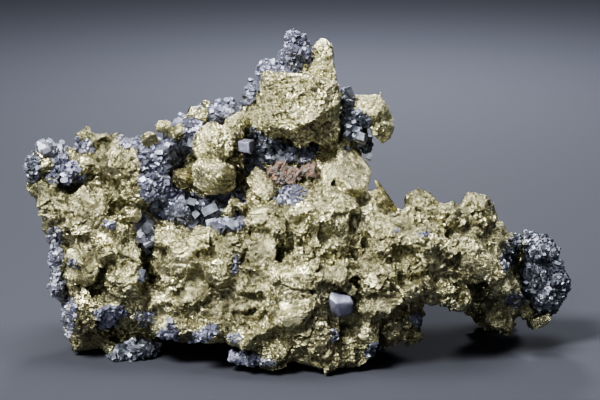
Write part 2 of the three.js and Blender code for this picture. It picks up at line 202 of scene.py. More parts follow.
FORM_CUTS = {
    # a six-sided block with some corners off
    "block": [
        ((1, -1, 1), 1.28), ((-1, -1, 1), 1.15), ((1, -1, -1), 1.3), ((-1, 1, 1), 1.2),
        ((0.2, -1, 0.1), 0.86),
    ],
    # a leaning block
    "skew": [
        ((1, -0.3, 0.5), 0.82), ((-1, -0.4, 0.3), 0.8), ((0.1, -1, 0.6), 0.8), ((0.2, -0.5, -1), 0.78),
        ((-0.6, -1, -0.8), 1.1), ((0.7, -0.8, 1), 1.12),
    ],
    # the wedge-shaped sphenoid of chalcopyrite
    "wedge": [
        ((1, 1, 1), 0.62), ((1, -1, -1), 0.62), ((-1, 1, -1), 0.62), ((-1, -1, 1), 0.66),
        ((1, -1, 1), 1.2), ((-1, -1, -1), 1.2),
    ],
    # a rounded lump
    "grain": [
        ((1, -1, 1), 1.05), ((-1, -1, 1), 1), ((1, -1, -1), 1.05), ((-1, -1, -1), 1.05), ((-1, 1, 1), 1.1),
        ((1, 1, 1), 1.1), ((1, -1, 0), 1), ((-1, -1, 0), 1.02), ((0, -1, 1), 0.98), ((0, -1, -1), 1.02),
        ((1, 0, 1), 1.05), ((-1, 0, 1), 1.05), ((-1, 0, -1), 1.08), ((1, 0, -1), 1.05),
    ],
    # a long ridge with a sloping roof
    "ridge": [
        ((0, -1, 1), 0.66), ((0, -1, -0.7), 0.8), ((1, -0.5, 0.2), 0.95), ((-1, -0.7, 0), 0.98),
        ((1, -1, 1), 1.15), ((-1, -1, -1), 1.2),
    ],
    # a flat plate with cut corners
    "plate": [
        ((1, 0, 1), 1.1), ((-1, 0, 1), 1.16), ((1, 0, -1), 1.18), ((-1, 0, -1), 1.05),
    ],
    "cube": [],
    # a cube with its corners off
    "cubo": [((x, y, z), 1.3) for x in (-1, 1) for y in (-1, 1) for z in (-1, 1)],
}
FORMS = {name: cut_form(cuts) for name, cuts in FORM_CUTS.items()}
CUBES = ["cube", "cube", "cubo"]


def gathered(name, places):
    """One mesh of many crystals: each place is a form's name and the matrix that sets it there."""
    points, faces, start = [], [], 0
    for form, matrix in places:
        form_points, form_faces = FORMS[form]
        turn = np.array(matrix.to_3x3())
        points.append(form_points @ turn.T + np.array(matrix.translation))
        faces.append(form_faces + start)
        start += len(form_points)
    points = np.concatenate(points)
    faces = np.concatenate(faces)
    mesh = bpy.data.meshes.new(name)
    mesh.vertices.add(len(points))
    mesh.vertices.foreach_set("co", points.ravel())
    mesh.loops.add(faces.size)
    mesh.loops.foreach_set("vertex_index", faces.ravel().astype(np.int32))
    mesh.polygons.add(len(faces))
    mesh.polygons.foreach_set("loop_start", np.arange(0, faces.size, 3, dtype=np.int32))
    mesh.update(calc_edges=True)
    mesh.shade_flat()
    return put_in_scene(name, mesh)


# ---- Places on the frame's surface ----


def on_front(across, up, otherwise=0.0):
    """Where the line of sight meets the surface; off the edge of it, the plane at a set depth."""
    ray = seen_ray(across, up)
    place = FRONT.ray_cast(EYE, ray)[0]
    if place is None:
        place = EYE + ray * ((otherwise - EYE.y) / ray.y)
    return place


def seen_at(across, up, depth):
    """The point on the line of sight through (across, up) that lies at y = depth."""
    ray = seen_ray(across, up)
    return EYE + ray * ((depth - EYE.y) / ray.y)


def hull(name, corners, nearest=0.0):
    """The tight flat-faced skin round corners given as seen from the front, with their depths."""
    mesh = bpy.data.meshes.new(name)
    mesh.from_pydata([seen_at(across, up, nearest + depth) for across, up, depth in corners], [], [])
    piece = put_in_scene(name, mesh)
    open_for_edit(piece, "SELECT")
    bpy.ops.mesh.convex_hull()
    bpy.ops.mesh.quads_convert_to_tris()
    close_edit()
    mesh.shade_flat()
    return piece


def face_with_back(middle, corners):
    """A broad face with its own bulk behind it, set against the surface in its middle."""
    deeper = [(across, up, depth + FACE_BULK) for across, up, depth in corners]
    return corners + deeper, on_front(*middle).y - FACE_RISE


def placed(centre, size, *turns):
    matrix = Matrix.Translation(centre)
    for turn in turns:
        matrix = matrix @ turn
    return matrix @ Matrix.Diagonal((*size, 1))


def side_outwards(normal):
    return normal.to_track_quat("-Y", "Z").to_matrix().to_4x4()


def facing(lean, turn, roll):
    """A turn that makes a front face look up by lean, right by turn, and rolls it clockwise by roll."""
    lean, turn, roll = (math.radians(angle) for angle in (lean, turn, roll))
    return Matrix.Rotation(turn, 4, "Z") @ Matrix.Rotation(-lean, 4, "X") @ Matrix.Rotation(roll, 4, "Y")


def front_lump(row):
    """A row: across, up, half width, half height, half depth, how proud, form, lean, turn, roll."""
    across, up, half_x, half_z, half_y, proud, form, lean, turn, roll = row
    place = on_front(across, up) + seen_ray(across, up) * (half_y - proud * PROUDER - LUMP_RISE)
    size = (half_x * LUMP_SPREAD, half_y, half_z * LUMP_SPREAD)
    return form, placed(place, size, facing(lean, turn, roll))


def surface_points(piece, count, numbers):
    """Points strewn evenly over a mesh, with the normals there."""
    mesh = piece.data
    mesh.calc_loop_triangles()
    corners = np.empty(len(mesh.loop_triangles) * 3, dtype=np.int32)
    mesh.loop_triangles.foreach_get("vertices", corners)
    points = np.empty(len(mesh.vertices) * 3)
    mesh.vertices.foreach_get("co", points)
    a, b, c = np.moveaxis(points.reshape(-1, 3)[corners.reshape(-1, 3)], 1, 0)
    normals = np.cross(b - a, c - a)
    areas = np.linalg.norm(normals, axis=1)
    chosen = numbers.choice(len(areas), size=count, p=areas / areas.sum())
    u, v = numbers.random((2, count, 1))
    flip = u + v > 1
    u, v = np.where(flip, 1 - u, u), np.where(flip, 1 - v, v)
    places = a[chosen] + u * (b - a)[chosen] + v * (c - a)[chosen]
    return places, normals[chosen] / areas[chosen, None]


# ---- The brassy mass ----

# Lumps set on the front: across, up, half width, half height, half depth, how proud, form, and how
# far its face leans up, turns right and rolls clockwise, in degrees.
LUMPS = [
    # left end, from the top down
    (-75.5, 83.5, 5.6, 3.4, 5, 1.5, "ridge", 24, -10, -10),
    (-59.3, 76.2, 2.8, 3.2, 3, 4.5, "block", 34, -10, 12),
    (-77, 76, 4.6, 4, 4, 0.5, "skew", 20, -14, -20), (-69.6, 62.2, 2.4, 2.4, 3, 2.5, "block", 20, 10, 30),
    (-90, 61.5, 5.4, 5.6, 5, 2.5, "grain", 18, -18, 0), (-92, 69, 4.4, 3.6, 4, 2, "grain", 22, -18, 8),
    (-94, 77, 3.6, 3.4, 4, 1.5, "block", 22, -18, -14),
    (-66.6, 52.4, 2.4, 4.2, 4, 3.6, "block", 14, 26, -34),
    (-84.5, 51.5, 5, 3.4, 4, 1.5, "grain", 20, -20, 24),
    (-81, 42, 3.2, 3.4, 4, 2.5, "block", 26, -16, 10),
    (-82.2, 35, 2.6, 2.6, 3.5, 3.2, "block", 36, -12, 24),
    (-74, 36.4, 4.4, 5, 4.5, 2, "grain", 16, -8, 0), (-68.5, 24, 6, 4.4, 4.5, 1, "skew", 26, -4, 6),
    (-68, 13, 4, 3.4, 4, -1.5, "grain", 14, 4, 10), (-59, 13.4, 6, 3.6, 4, -1.5, "ridge", 22, 10, -16),
    # middle, left part
    (-28.2, 36.6, 5.2, 5, 5.5, 2.6, "grain", 26, -4, 10),
    (-33.2, 47.4, 5, 5, 5, 2.2, "grain", 24, 6, -10), (-50, 25.6, 6, 4, 4.5, 1, "skew", 24, -10, -20),
    (-47, 17, 6, 4.6, 4.5, 0.8, "grain", 22, 4, 0), (-38, 19.4, 6.4, 4, 4.5, 0.6, "skew", 24, 10, -18),
    (-30, 22, 5, 3.6, 4, 0.4, "skew", 16, -8, 10), (-31, 14.6, 6, 3.4, 4, 0.8, "grain", 20, -6, -20),
    # middle
    (-14, 37.4, 5.6, 3.4, 4, 1.2, "grain", 20, 0, 8), (-20, 17.4, 7.4, 1.8, 4, 2.6, "ridge", 34, -8, 16),
    (-14, 12.6, 7.6, 1.7, 4, 2.6, "ridge", 34, -4, -28),
    (-19.4, 11, 5.6, 2.6, 4, 1.6, "skew", 26, -14, 12), (-8, 7, 6.6, 4.6, 5, 1.4, "grain", 24, 4, -20),
    (9.4, 54.4, 5, 3.6, 5, 2.4, "skew", 30, -6, 8), (0.6, 57.4, 4.8, 3.6, 4.5, 2, "skew", 30, -8, -16),
    (1, 49.6, 5, 3, 4, 1.2, "skew", 26, 6, 14), (2.4, 42.6, 6, 2.6, 4.5, 2.4, "ridge", 32, -8, -26),
    (4.6, 35.4, 6.4, 5, 5, 1.2, "grain", 20, 0, 0), (7.4, 8.4, 6, 4, 5, 1.2, "grain", 22, 6, 0),
    (18, 6.4, 6.4, 4.2, 5, 1, "grain", 14, 6, -8), (21.4, 33.4, 4.4, 5, 4.5, 0.8, "block", 14, 0, 10),
    (23.8, 14.2, 6.2, 4.6, 5, 1.8, "grain", 22, -6, 8),
    # right part
    (29.6, 60, 3.8, 3, 4, -4.5, "grain", 22, 0, 0), (38.8, 62.6, 4.6, 2.8, 4, 1.4, "block", 32, 8, 10),
    (46, 62.6, 4.8, 2.8, 4, 1.2, "skew", 30, 10, -6), (44.2, 55.4, 6.4, 4.8, 5.5, 3, "grain", 26, -2, 0),
    (55.4, 56.4, 5.2, 4.4, 5, 2, "grain", 24, 6, 0), (65.6, 57.6, 5.6, 7, 6.5, 2, "grain", 20, -2, 0),
    (70.8, 48.6, 5, 4.4, 4.5, -0.5, "grain", 0, 22, 24), (31.2, 45.8, 3.4, 4, 4, 2.4, "plate", 24, -8, 4),
    (37.6, 48.6, 4.8, 3.8, 4.5, 1.6, "grain", 26, 0, 12),
    (47.6, 46.8, 6.2, 3.8, 4.5, 1.6, "grain", 26, 4, 10),
    (57, 40.6, 8.6, 2, 4.5, 1.6, "ridge", 34, 2, 12), (46, 38.6, 7, 2.4, 4.5, 1.6, "ridge", 34, -2, -10),
    (36.4, 38, 5, 4.6, 4.5, 1.6, "skew", 26, -8, 12), (30.6, 33.6, 4.6, 5, 4.5, 1.4, "block", 16, -10, 4),
    (43.4, 29.6, 6, 2.8, 4.5, 1.8, "ridge", 30, -6, -24),
    (51.4, 28.6, 4.6, 3, 4, 1.2, "skew", 22, -10, -10),
    (59.4, 27, 4.4, 4.4, 3.5, 0.6, "grain", 2, -16, 20), (72.4, 33.8, 3.6, 5, 4, 1.6, "grain", 22, 10, 0),
    (79, 30.2, 3.2, 3, 3.5, 2, "block", 28, 10, 10), (68, 22.8, 6, 2.8, 4, 0.6, "skew", 8, 6, 8),
    (74, 17.4, 5.4, 2.8, 4.5, 1.6, "plate", 30, -4, 12), (83, 21, 4.4, 1.6, 3.5, 1.6, "ridge", 34, 6, 14),
    (40.4, 18.4, 4.4, 5.2, 4.5, 0.8, "grain", 14, 4, 10),
    (40.6, 12.4, 3, 3, 3.5, 1, "grain", 14, 10, -10), (79, 23.4, 4, 3.4, 4, 0.6, "grain", 18, 10, 0),
    (83.6, 23.4, 3, 2.6, 3.5, 0, "grain", 18, 10, 0), (80, 44, 3.4, 4.6, 4, 0, "grain", 18, 10, 0),
]

# Broad broken faces of the brassy mass: where each sits (across, up), then its corners as seen from the
# front, with their depths against the surface there.
BROAD_FACES = [
    ((-41, 40), [
        (-46, 50, 1.5), (-40.3, 49.5, 2.5), (-32.3, 41, 0.5), (-38, 40.5, -4.2), (-46, 43.5, -3.2),
        (-35, 35.5, 0.8), (-46, 29, 0.6), (-52, 28, 2), (-53, 33, 3),
    ]),
    ((-40, 27), [
        (-46.5, 24, 0), (-44, 27.5, 0.6), (-36, 30.5, 0.6), (-33, 29.5, 0.6), (-34, 27, -2.8),
        (-45, 22.5, -2.4), (-35, 24, 0.4), (-44, 20.5, 0.4),
    ]),
    ((-13, 44), [
        (-19.5, 48, 0.6), (-8, 48.5, 1.2), (-7.3, 46, -0.4), (-7.3, 37, -2.6), (-19, 37.5, -2.4),
        (-7.5, 31, 0.4), (-20, 31, 0.4),
    ]),
    ((-13, 56), [
        (-19.4, 55, 0), (-17, 60, 1.4), (-10, 61, 1.6), (-6.5, 57, 0.8), (-8, 53.5, -2.2),
        (-17, 53, -2.2), (-9, 51.5, 0), (-17, 51, 0),
    ]),
    ((-7.5, 52.6), [
        (-10.5, 53.6, 0), (-7, 54.9, 0.4), (-4.6, 53, 0), (-5.5, 50.5, -2.4), (-9.5, 51, -2.4),
        (-7, 49.6, 0),
    ]),
    ((-24, 46), [
        (-28, 47, 0), (-24, 49.5, 1), (-20.5, 48, 0.5), (-20, 43, -1.4), (-26, 42, -1.8), (-24, 40, 0.4),
    ]),
    ((-2, 20), [
        (-10, 18.5, 0), (-6, 20.8, 0), (2, 23.6, 0), (6.4, 23.8, 0.5), (3, 20, -3.2), (-4, 17.3, -3.4),
        (-9, 16.8, -1.2), (-3, 14.8, 0.4), (3, 17, 0.4),
    ]),
    ((-19, 24), [
        (-26, 25, 0.4), (-22, 27.6, 1), (-14.5, 27, 1), (-13.5, 24, -0.8), (-19, 21.5, -1.6),
        (-25, 22.5, -1),
    ]),
    ((-16, 31), [
        (-24, 31, 0), (-20, 34.4, 0.8), (-10, 34, 0.8), (-7.6, 31, 0), (-12, 29, -3), (-22, 28.6, -2.8),
        (-20, 27.4, 0.4), (-10, 27.6, 0.4),
    ]),
    ((9, 60), [
        (-4, 60, 1), (2, 64, 2), (14, 66, 2), (22, 63, 1.6), (21, 59.6, -1.4), (12, 58.6, -4),
        (0, 58, -3.4), (0, 55, 1), (14, 55, 1.4),
    ]),
    ((13, 46), [
        (9, 48, 0), (13, 50.4, 0.8), (18, 49.4, 0.4), (18.3, 46, -3.4), (9.5, 45.5, -3.4),
        (10, 41.6, 0.4), (18, 42, 0.4),
    ]),
    ((15, 36), [
        (11, 38.5, 0.8), (18.5, 39.5, 0.8), (19.5, 36, -0.6), (17, 32, -2.4), (11.5, 32.5, -2.2),
        (14, 30, 0.4),
    ]),
    ((29, 27), [
        (22, 31, 1.2), (36, 31.5, 1.6), (38, 27, 0), (34, 21.5, -1.8), (23, 22, -1.8), (24, 18.6, 0.6),
        (34, 18.6, 0.6),
    ]),
    ((63, 43), [
        (47, 50, 1.4), (63, 49.4, 1), (78.4, 38, -0.6), (76, 34.6, -2.8), (60, 43.4, -4), (48, 44, -3.4),
        (71, 32, 1), (50, 38, 1),
    ]),
    ((-65, 46), [
        (-75, 48, 0.4), (-67, 52.4, 1.4), (-61, 49.6, 0.6), (-54.5, 42.6, 0.6), (-53.6, 40, -0.6),
        (-57, 38.4, -3), (-66, 43, -4.4), (-74, 44, -3.4), (-60, 36.4, 0.8), (-73, 40.6, 0.6),
    ]),
    ((-63, 33), [
        (-70, 35, 0), (-66, 39.4, 0.8), (-59, 38, 0.8), (-56, 34, 0.6), (-57.5, 28, -0.6),
        (-66, 26.4, -1), (-70, 29.5, -0.6), (-66, 33, -4.4), (-60, 32.5, -4.4),
    ]),
    ((-78, 57), [
        (-86.5, 53, 0), (-83, 56, 0.4), (-70, 62.2, 0.4), (-68.6, 60.4, -0.8), (-82, 53, -2.4),
        (-70, 58.4, -2.8),
    ]),
    ((-77, 53), [
        (-84.5, 49.6, 0), (-81, 52.6, 0.2), (-71, 57, 0), (-69, 55.4, -1), (-80, 49.4, -2.6),
        (-71, 53.2, -3),
    ]),
    ((-78, 64.5), [
        (-84, 64, 0.4), (-79, 68.6, 1.4), (-72, 68, 1.2), (-70.6, 64.4, 0), (-76, 60.6, -2.4),
        (-82, 61, -2),
    ]),
    ((-66, 75), [
        (-74, 75, 0.4), (-69, 81, 1.4), (-61, 80.4, 1.4), (-58, 75, 0.4), (-60, 70, -1.4),
        (-70, 70.4, -1.4), (-70, 75.4, -3.4), (-63, 75.4, -3.6),
    ]),
    ((-60, 66), [
        (-66.4, 66, 0), (-62, 70, 0.6), (-55, 69.4, 0.6), (-53.4, 65, 0), (-56, 61.6, -1.6),
        (-64, 62, -1.6), (-60, 66, -3),
    ]),
    ((-48, 49), [
        (-53, 48, 0), (-50, 53, 0.8), (-44, 52.4, 0.8), (-42.6, 49, 0), (-46, 45.4, -2.6),
        (-51.6, 45.4, -2.2),
    ]),
    ((-78, 22), [
        (-85, 22, 0.4), (-82, 28, 1), (-75, 28.6, 1), (-71, 23, 0.4), (-73, 16, 0), (-82, 15.6, 0),
        (-79, 22.6, -3.2), (-75, 21.6, -3),
    ]),
    ((-78, 11.6), [
        (-84, 12, 0.4), (-81, 15, 0.6), (-74.6, 14.6, 0.6), (-72.4, 11, 0.4), (-74.4, 8, 0),
        (-81.4, 8, 0), (-78, 11.8, -2.8),
    ]),
    ((-56, 22), [
        (-63, 22, 0.4), (-58, 26, 0.8), (-51, 25, 0.8), (-49.4, 21, 0.2), (-53, 18, -1.6),
        (-61, 18.6, -1.6),
    ]),
    ((4, 12), [
        (-3, 12, 0.4), (2, 17, 0.8), (11, 18.6, 0.8), (14, 14, 0), (10, 8.6, -1.8), (0, 8.4, -1.8),
    ]),
]
# Low lumps under the left part, with depths from the middle of the specimen.
LOW_LUMPS = [[
    (-72, 9.4, -13), (-70, 5.8, -15), (-61, 4.4, -20), (-53, 6, -17), (-50, 9.8, -13), (-60, 10.6, -17),
    (-70, 11, -12), (-70, 9, 0), (-52, 9, 0), (-60, 5.6, 0),
]]
# Hollows cut along the line of sight: across, up, half width, half height, roll, depth.
HOLLOWS = [
    (-53.4, 38, 2.6, 7, -24, 11), (-56.6, 47.4, 1.6, 3.4, -30, 5), (-62.6, 54, 3, 1.6, 36, 2.6),
    (-74.4, 30.4, 5, 0.9, -8, 6), (-71.6, 36.6, 0.9, 4.4, 10, 2.5), (-86.4, 69.4, 3.4, 2.4, -24, 5),
    (-69, 15.8, 4.6, 1.3, 8, 6), (-60, 13.6, 8.6, 2.2, 4, 5), (-40.6, 52, 1.8, 1.6, 0, 6),
    (-21, 55.8, 1.5, 2.2, 0, 7), (-5.8, 43.6, 1.2, 4.6, 4, 2.4), (-17, 22.4, 2, 0.7, -10, 1.2),
    (25, 47, 1.2, 4.4, 0, 4), (20.8, 54, 1.2, 3.6, 8, 1.6), (21.6, 33.2, 1.4, 1.6, 0, 8),
    (17, 13.6, 1.8, 1.1, 0, 5), (45.4, 7.4, 2.4, 3, 30, 14), (36.6, 6.6, 1.6, 2.4, -20, 12),
    (66.8, 31.4, 3.4, 4.2, 12, 13), (60.4, 27.6, 2.8, 3, 0, 2.6), (80.6, 42, 2, 3.4, 24, 5),
    (-9, 82, 5.5, 4, 30, 12), (-18, 92, 2.4, 4.6, 0, 8), (-20, 62, 2.4, 3, 0, 6), (-17, 77, 2.4, 3, 0, 6),
]

# Facets left smooth: across, up, reach.
SATIN_FACETS = [
    (-41, 43, 5.5), (-66, 45, 5), (-63, 33, 4.4), (-66, 76, 5), (44, 56, 4.4), (66, 44, 5), (-60, 66, 4),
    (9, 60, 4.4), (-30, 24, 4.4), (41, 30, 4.4), (52, 40, 5), (-77.5, 64.5, 5), (-13.4, 55.6, 6),
    (-13.4, 44.4, 6.5), (-39.6, 27, 5), (-20, 25, 6), (-48.8, 40.6, 5), (-39.8, 35.6, 4.6),
    (0.2, 20.6, 6.5), (14.9, 35.6, 4.6), (13, 45, 4.6), (31.2, 45.8, 3.6), (-26.2, 45.4, 3.8),
    (4, 14.6, 5), (-59.3, 76.2, 3), (33.6, 26, 5), (-76, 57, 6),
]

LUMP_RISE = 0.5  # how much further out every lump stands
PROUDER = 1.35
LUMP_SPREAD = 1.06
CORE_GAP = 5.5  # cracks of the frame's solid narrower than twice this are filled
CORE_SHRINK = 0.5
CORE_SOFTENING = 10
BED_SWELL = 0.8
DRUSE_TILT = 50
BLOCK_GAP = CORE_GAP * 0.18
CRYSTAL_GAP = 0.3
# Crystals strewn over the mass, large and fine: how many, smallest, largest, how proud, tilt in degrees.
BLOCKS = (90, 3, 6, (0, 0.10), 18)
GRAINS = (1400, 0.4, 1.1, (0.1, 0.5), 40)
MASS_TRIANGLES = 394000
LENGTHS_END_AT = (-48, -8, 30)
ANGULAR_TRIANGLES = 3600  # so few triangles turn the lumps into large flat facets
FACE_BULK = 7.0
FACE_RISE = 2.2
SMALL_BIAS = 1.6  # the larger, the fewer of the strewn crystals are large
HOLLOW_PIECES = 8
HOLLOW_CROWD = 0.66  # how far from a hollow's middle its cutters sit, against its half width
SHALLOWEST = 0.35  # the shallowest cutter, against the hollow's depth
DEPTH_OFF_EDGE = 5.0  # where a hollow lies that the frame's outline leaves free
HOLLOW_FORE = 5.0  # how far a cutter reaches forward, through lumps that stand proud


# ---- Node trees ----


class Socket:
    """One socket of a node tree. Sums on it add Math nodes; make() adds any other node."""

    def __init__(self, tree, source):
        self.tree = tree
        self.source = source

    def make(self, kind, settings=None, sockets=None, output=0):
        node = self.tree.nodes.new(kind)
        for name, value in (settings or {}).items():
            setattr(node, name, value)
        for name, value in (sockets or {}).items():
            socket = node.inputs[name]
            if isinstance(value, Socket):
                self.tree.links.new(value.source, socket)
            else:
                socket.default_value = value
        return Socket(self.tree, node.outputs[output])

    def math(self, operation, *others):
        values = dict(enumerate((self, *others)))
        return self.make("ShaderNodeMath", {"operation": operation}, values)

    def clamped(self):
        return self.make("ShaderNodeClamp", {}, {0: self})

    def __add__(self, other):
        return self.math("ADD", other)

    def __radd__(self, other):
        return self.math("ADD", other)

    def __sub__(self, other):
        return self.math("SUBTRACT", other)

    def __rsub__(self, other):
        return self.make("ShaderNodeMath", {"operation": "SUBTRACT"}, {0: other, 1: self})

    def __mul__(self, other):
        return self.math("MULTIPLY", other)

    def __rmul__(self, other):
        return self.math("MULTIPLY", other)

    def between(self, low, high):
        """0 below low, 1 above high, smooth in between."""
        return self.make(
            "ShaderNodeMapRange",
            {"interpolation_type": "SMOOTHSTEP"},
            {"Value": self, "From Min": low, "From Max": high},
        )

    def towards(self, colour, mask):
        """This colour mixed with another where the mask is 1."""
        return self.make("ShaderNodeMix", {"data_type": "RGBA"}, {0: mask, 6: self, 7: colour}, 2)

    def vector(self, operation, *others, output=0):
        values = dict(enumerate((self, *others)))
        return self.make("ShaderNodeVectorMath", {"operation": operation}, values, output)

    def scaled(self, factor):
        return self.make("ShaderNodeVectorMath", {"operation": "SCALE"}, {0: self, "Scale": factor})

    def centred(self):
        """A random vector or colour brought to lie round zero."""
        return self.vector("SUBTRACT", (0.5, 0.5, 0.5))

    def noise(self, scale, detail=2.0, rough=0.5, output=0):
        values = {"Vector": self, "Scale": scale, "Detail": detail, "Roughness": rough}
        return self.make("ShaderNodeTexNoise", {}, values, output)

    def cells(self, scale, output=0, distance="EUCLIDEAN"):
        values = {"Vector": self, "Scale": scale}
        return self.make("ShaderNodeTexVoronoi", {"distance": distance}, values, output)

    def blurred(self, rounds):
        values = {"Value": self, "Iterations": rounds}
        return self.make("GeometryNodeBlurAttribute", {"data_type": "FLOAT_VECTOR"}, values)

    def moved(self, offset):
        return self.make("GeometryNodeSetPosition", {}, {"Geometry": self, "Offset": offset})

    def as_grid(self, voxel, band=3):
        """The distance to a mesh's surface, known in a band of voxels on both sides of it."""
        values = {"Mesh": self, "Voxel Size": voxel, "Band Width": band}
        return self.make("GeometryNodeMeshToSDFGrid", {}, values)

    def as_mesh(self, distance=SKIN_DISTANCE):
        return self.make("GeometryNodeGridToMesh", {}, {"Grid": self, "Threshold": distance})


def shape_nodes(piece, name, build):
    """Runs a geometry node tree over a piece and applies it; build gets the geometry and the position."""
    tree = bpy.data.node_groups.new(name, "GeometryNodeTree")
    tree.interface.new_socket("Geometry", in_out="INPUT", socket_type="NodeSocketGeometry")
    tree.interface.new_socket("Geometry", in_out="OUTPUT", socket_type="NodeSocketGeometry")
    entry = Socket(tree, tree.nodes.new("NodeGroupInput").outputs[0])
    result = build(entry, entry.make("GeometryNodeInputPosition"))
    tree.links.new(result.source, tree.nodes.new("NodeGroupOutput").inputs[0])
    finish_with(piece, "NODES", node_group=tree)
    bpy.data.node_groups.remove(tree)


def kept_inside(geometry, position):
    """Holds every point inside the frame's box and above the floor."""
    low = tuple(value / MM for value in cad_box[0])
    high = tuple(value / MM for value in cad_box[1])
    held = position.vector("MAXIMUM", low).vector("MINIMUM", high)
    return geometry.make("GeometryNodeSetPosition", {}, {"Geometry": geometry, "Position": held})


def closed_gaps(geometry, voxel, gap, shrink=0.0):
    """Fills cracks narrower than twice the gap: the skin is moved out, joined up, and moved back in."""
    for distance in (gap, -gap - shrink):
        geometry = geometry.as_grid(voxel, math.ceil(gap / voxel) + 2).as_mesh(distance)
    return geometry


def skins(piece, voxel, cutters=None):
    """Joins what overlaps under closed skins, less what the cutters take away."""

    def build(geometry, position):
        grid = geometry.as_grid(voxel)
        if cutters:
            hollow = geometry.make("GeometryNodeObjectInfo", {}, {"Object": cutters}, output=4)
            operands = {"Grid 1": grid, "Grid 2": hollow.as_grid(voxel)}
            grid = grid.make("GeometryNodeSDFGridBoolean", {"operation": "DIFFERENCE"}, operands)
        return grid.as_mesh()

    shape_nodes(piece, "skins", build)


def one_skin(piece, voxel, cutters=None):
    """Joins all under one closed skin: what floats free inside or outside of it goes."""
    skins(piece, voxel, cutters)
    open_for_edit(piece, "DESELECT", "VERT")
    close_edit()
    outermost = min(piece.data.vertices, key=lambda vertex: vertex.co.y)
    outermost.select = True
    bpy.ops.object.mode_set(mode="EDIT")
    bpy.ops.mesh.select_linked()
    bpy.ops.mesh.select_all(action="INVERT")
    bpy.ops.mesh.delete(type="VERT")
    close_edit()


def facets(position, scale, tilt, step):
    """Flat broken facets: every cell slopes its own way and lies at its own height."""
    cell = position.cells(scale, output=2)
    chance = position.cells(scale, output=1)
    level = chance.make("ShaderNodeSeparateXYZ", {}, {0: chance}, 2) - 0.5
    across_cell = position.vector("SUBTRACT", cell)
    return across_cell.vector("DOT_PRODUCT", chance.centred(), output=1) * tilt + level * step


def broken_faces(position, scale, tilt, layers):
    """The outermost of several sets of tilted cells: crisp faces that cut each other, few steps."""
    height = None
    for layer in range(layers):
        shifted = position.vector("ADD", (layer * 31.7, layer * 17.3, layer * 23.9))
        face = facets(shifted, scale, tilt, 0.0)
        height = face if height is None else height.math("MAXIMUM", face)
    return height - 0.05 * layers * tilt / scale


def grown_points(position, scale, rise, turn):
    """Low pyramids with flat sides, all turned one way, as crystals that grew together."""
    values = {"Vector": position, "Rotation": turn}
    turned = position.make("ShaderNodeVectorRotate", {"rotation_type": "EULER_XYZ"}, values)
    return (0.55 - turned.cells(scale, distance="MANHATTAN")) * rise


def satin_mask(position):
    """1 on the smooth facets of the front, 0 on the granular rest."""
    mask = None
    ragged = (position.noise(0.22, 2.0) - 0.5) * 1.4
    for across, up, reach in SATIN_FACETS:
        away = position.vector("DISTANCE", tuple(on_front(across, up)), output=1)
        here = 1 - (away + ragged * reach).between(reach * 0.5, reach * 1.15)
        mask = here if mask is None else mask.math("MAXIMUM", here)
    return mask


def roughened(geometry, position, broad, fine, with_satin):
    """The brassy skin: broken facets of three sizes, wrinkles, and pits."""
    bent = position.vector("ADD", position.noise(0.3, output=1))
    large = broken_faces(position, 0.085, 0.4, 2) + grown_points(position, 0.11, 0.4, (0.5, 0.3, 0.7))
    large = large * broad
    middle = (broken_faces(bent, 0.25, 0.7, 2) + grown_points(bent, 0.3, 0.3, (0.9, -0.4, 0.2))) * broad
    small = facets(bent, 0.95, 0.5, 0.08) + facets(bent, 0.48, 0.5, 0.10)
    wrinkles = (bent.noise(0.8, 2.0, 0.7) - 0.5) * 0.5
    where = position.noise(0.07, 1.0).between(0.40, 0.60) * 0.65 + 0.35
    pits = bent.cells(0.62).between(0.10, 0.26) - 1
    pits = pits * position.noise(0.12, 1.0).between(0.46, 0.58)
    skin = (small + wrinkles) * where * fine + pits * fine * 0.55
    if with_satin:
        smooth = satin_mask(position)
        skin = skin * (1 - smooth * 0.4)
        large = large * (1 - smooth * 0.7)
        middle = middle * (1 - smooth * 0.65)
    normal = geometry.make("GeometryNodeInputNormal")
    outwards = normal.blurred(25).vector("NORMALIZE")
    return geometry.moved(outwards.scaled(large + middle * where).vector("ADD", normal.scaled(skin)))


def marked(geometry, position, with_satin):
    """Stores how deep each point lies in a dent and in a wide recess, and where the satin facets are."""
    normal = geometry.make("GeometryNodeInputNormal")
    marks = {"satin": satin_mask(position) if with_satin else 0.0}
    for name, rounds in (("dent", 3), ("recess", 40)):
        inwards = position.blurred(rounds).vector("SUBTRACT", position)
        marks[name] = inwards.vector("DOT_PRODUCT", normal, output=1)
    for name, value in marks.items():
        geometry = geometry.make(
            "GeometryNodeStoreNamedAttribute", {"data_type": "FLOAT", "domain": "POINT"},
            {"Geometry": geometry, "Name": name, "Value": value},
        )
    return geometry


def strewn_places(piece, numbers, forms, count, smallest, largest, proud, tilt, allowed=None):
    """Crystals strewn over a piece: a flat side outwards, tilted by some degrees, standing proud."""
    places, normals = surface_points(piece, count, numbers)
    sizes = smallest + (largest - smallest) * numbers.random(count) ** SMALL_BIAS
    chosen = numbers.integers(0, len(forms), count)
    rows = []
    for place, normal, size, form in zip(places, normals, sizes, chosen):
        spin = numbers.uniform(-math.pi, math.pi)
        lean = numbers.uniform(-tilt, tilt, 2)
        shape = numbers.uniform(0.65, 1.0, 3)
        out = numbers.uniform(*proud)
        if allowed and not allowed(place):
            continue
        normal = Vector(normal)
        tumble = Euler((math.radians(lean[0]), spin, math.radians(lean[1])), "YXZ").to_matrix().to_4x4()
        centre = Vector(place) - normal * (size * shape[1] - size * out)
        rows.append((forms[form], placed(centre, size * shape, side_outwards(normal) @ tumble)))
    return rows


def clear_of_hollows_and_satin(place):
    return all((Vector(place) - spot).length >= reach for spot, reach in KEPT_CLEAR)


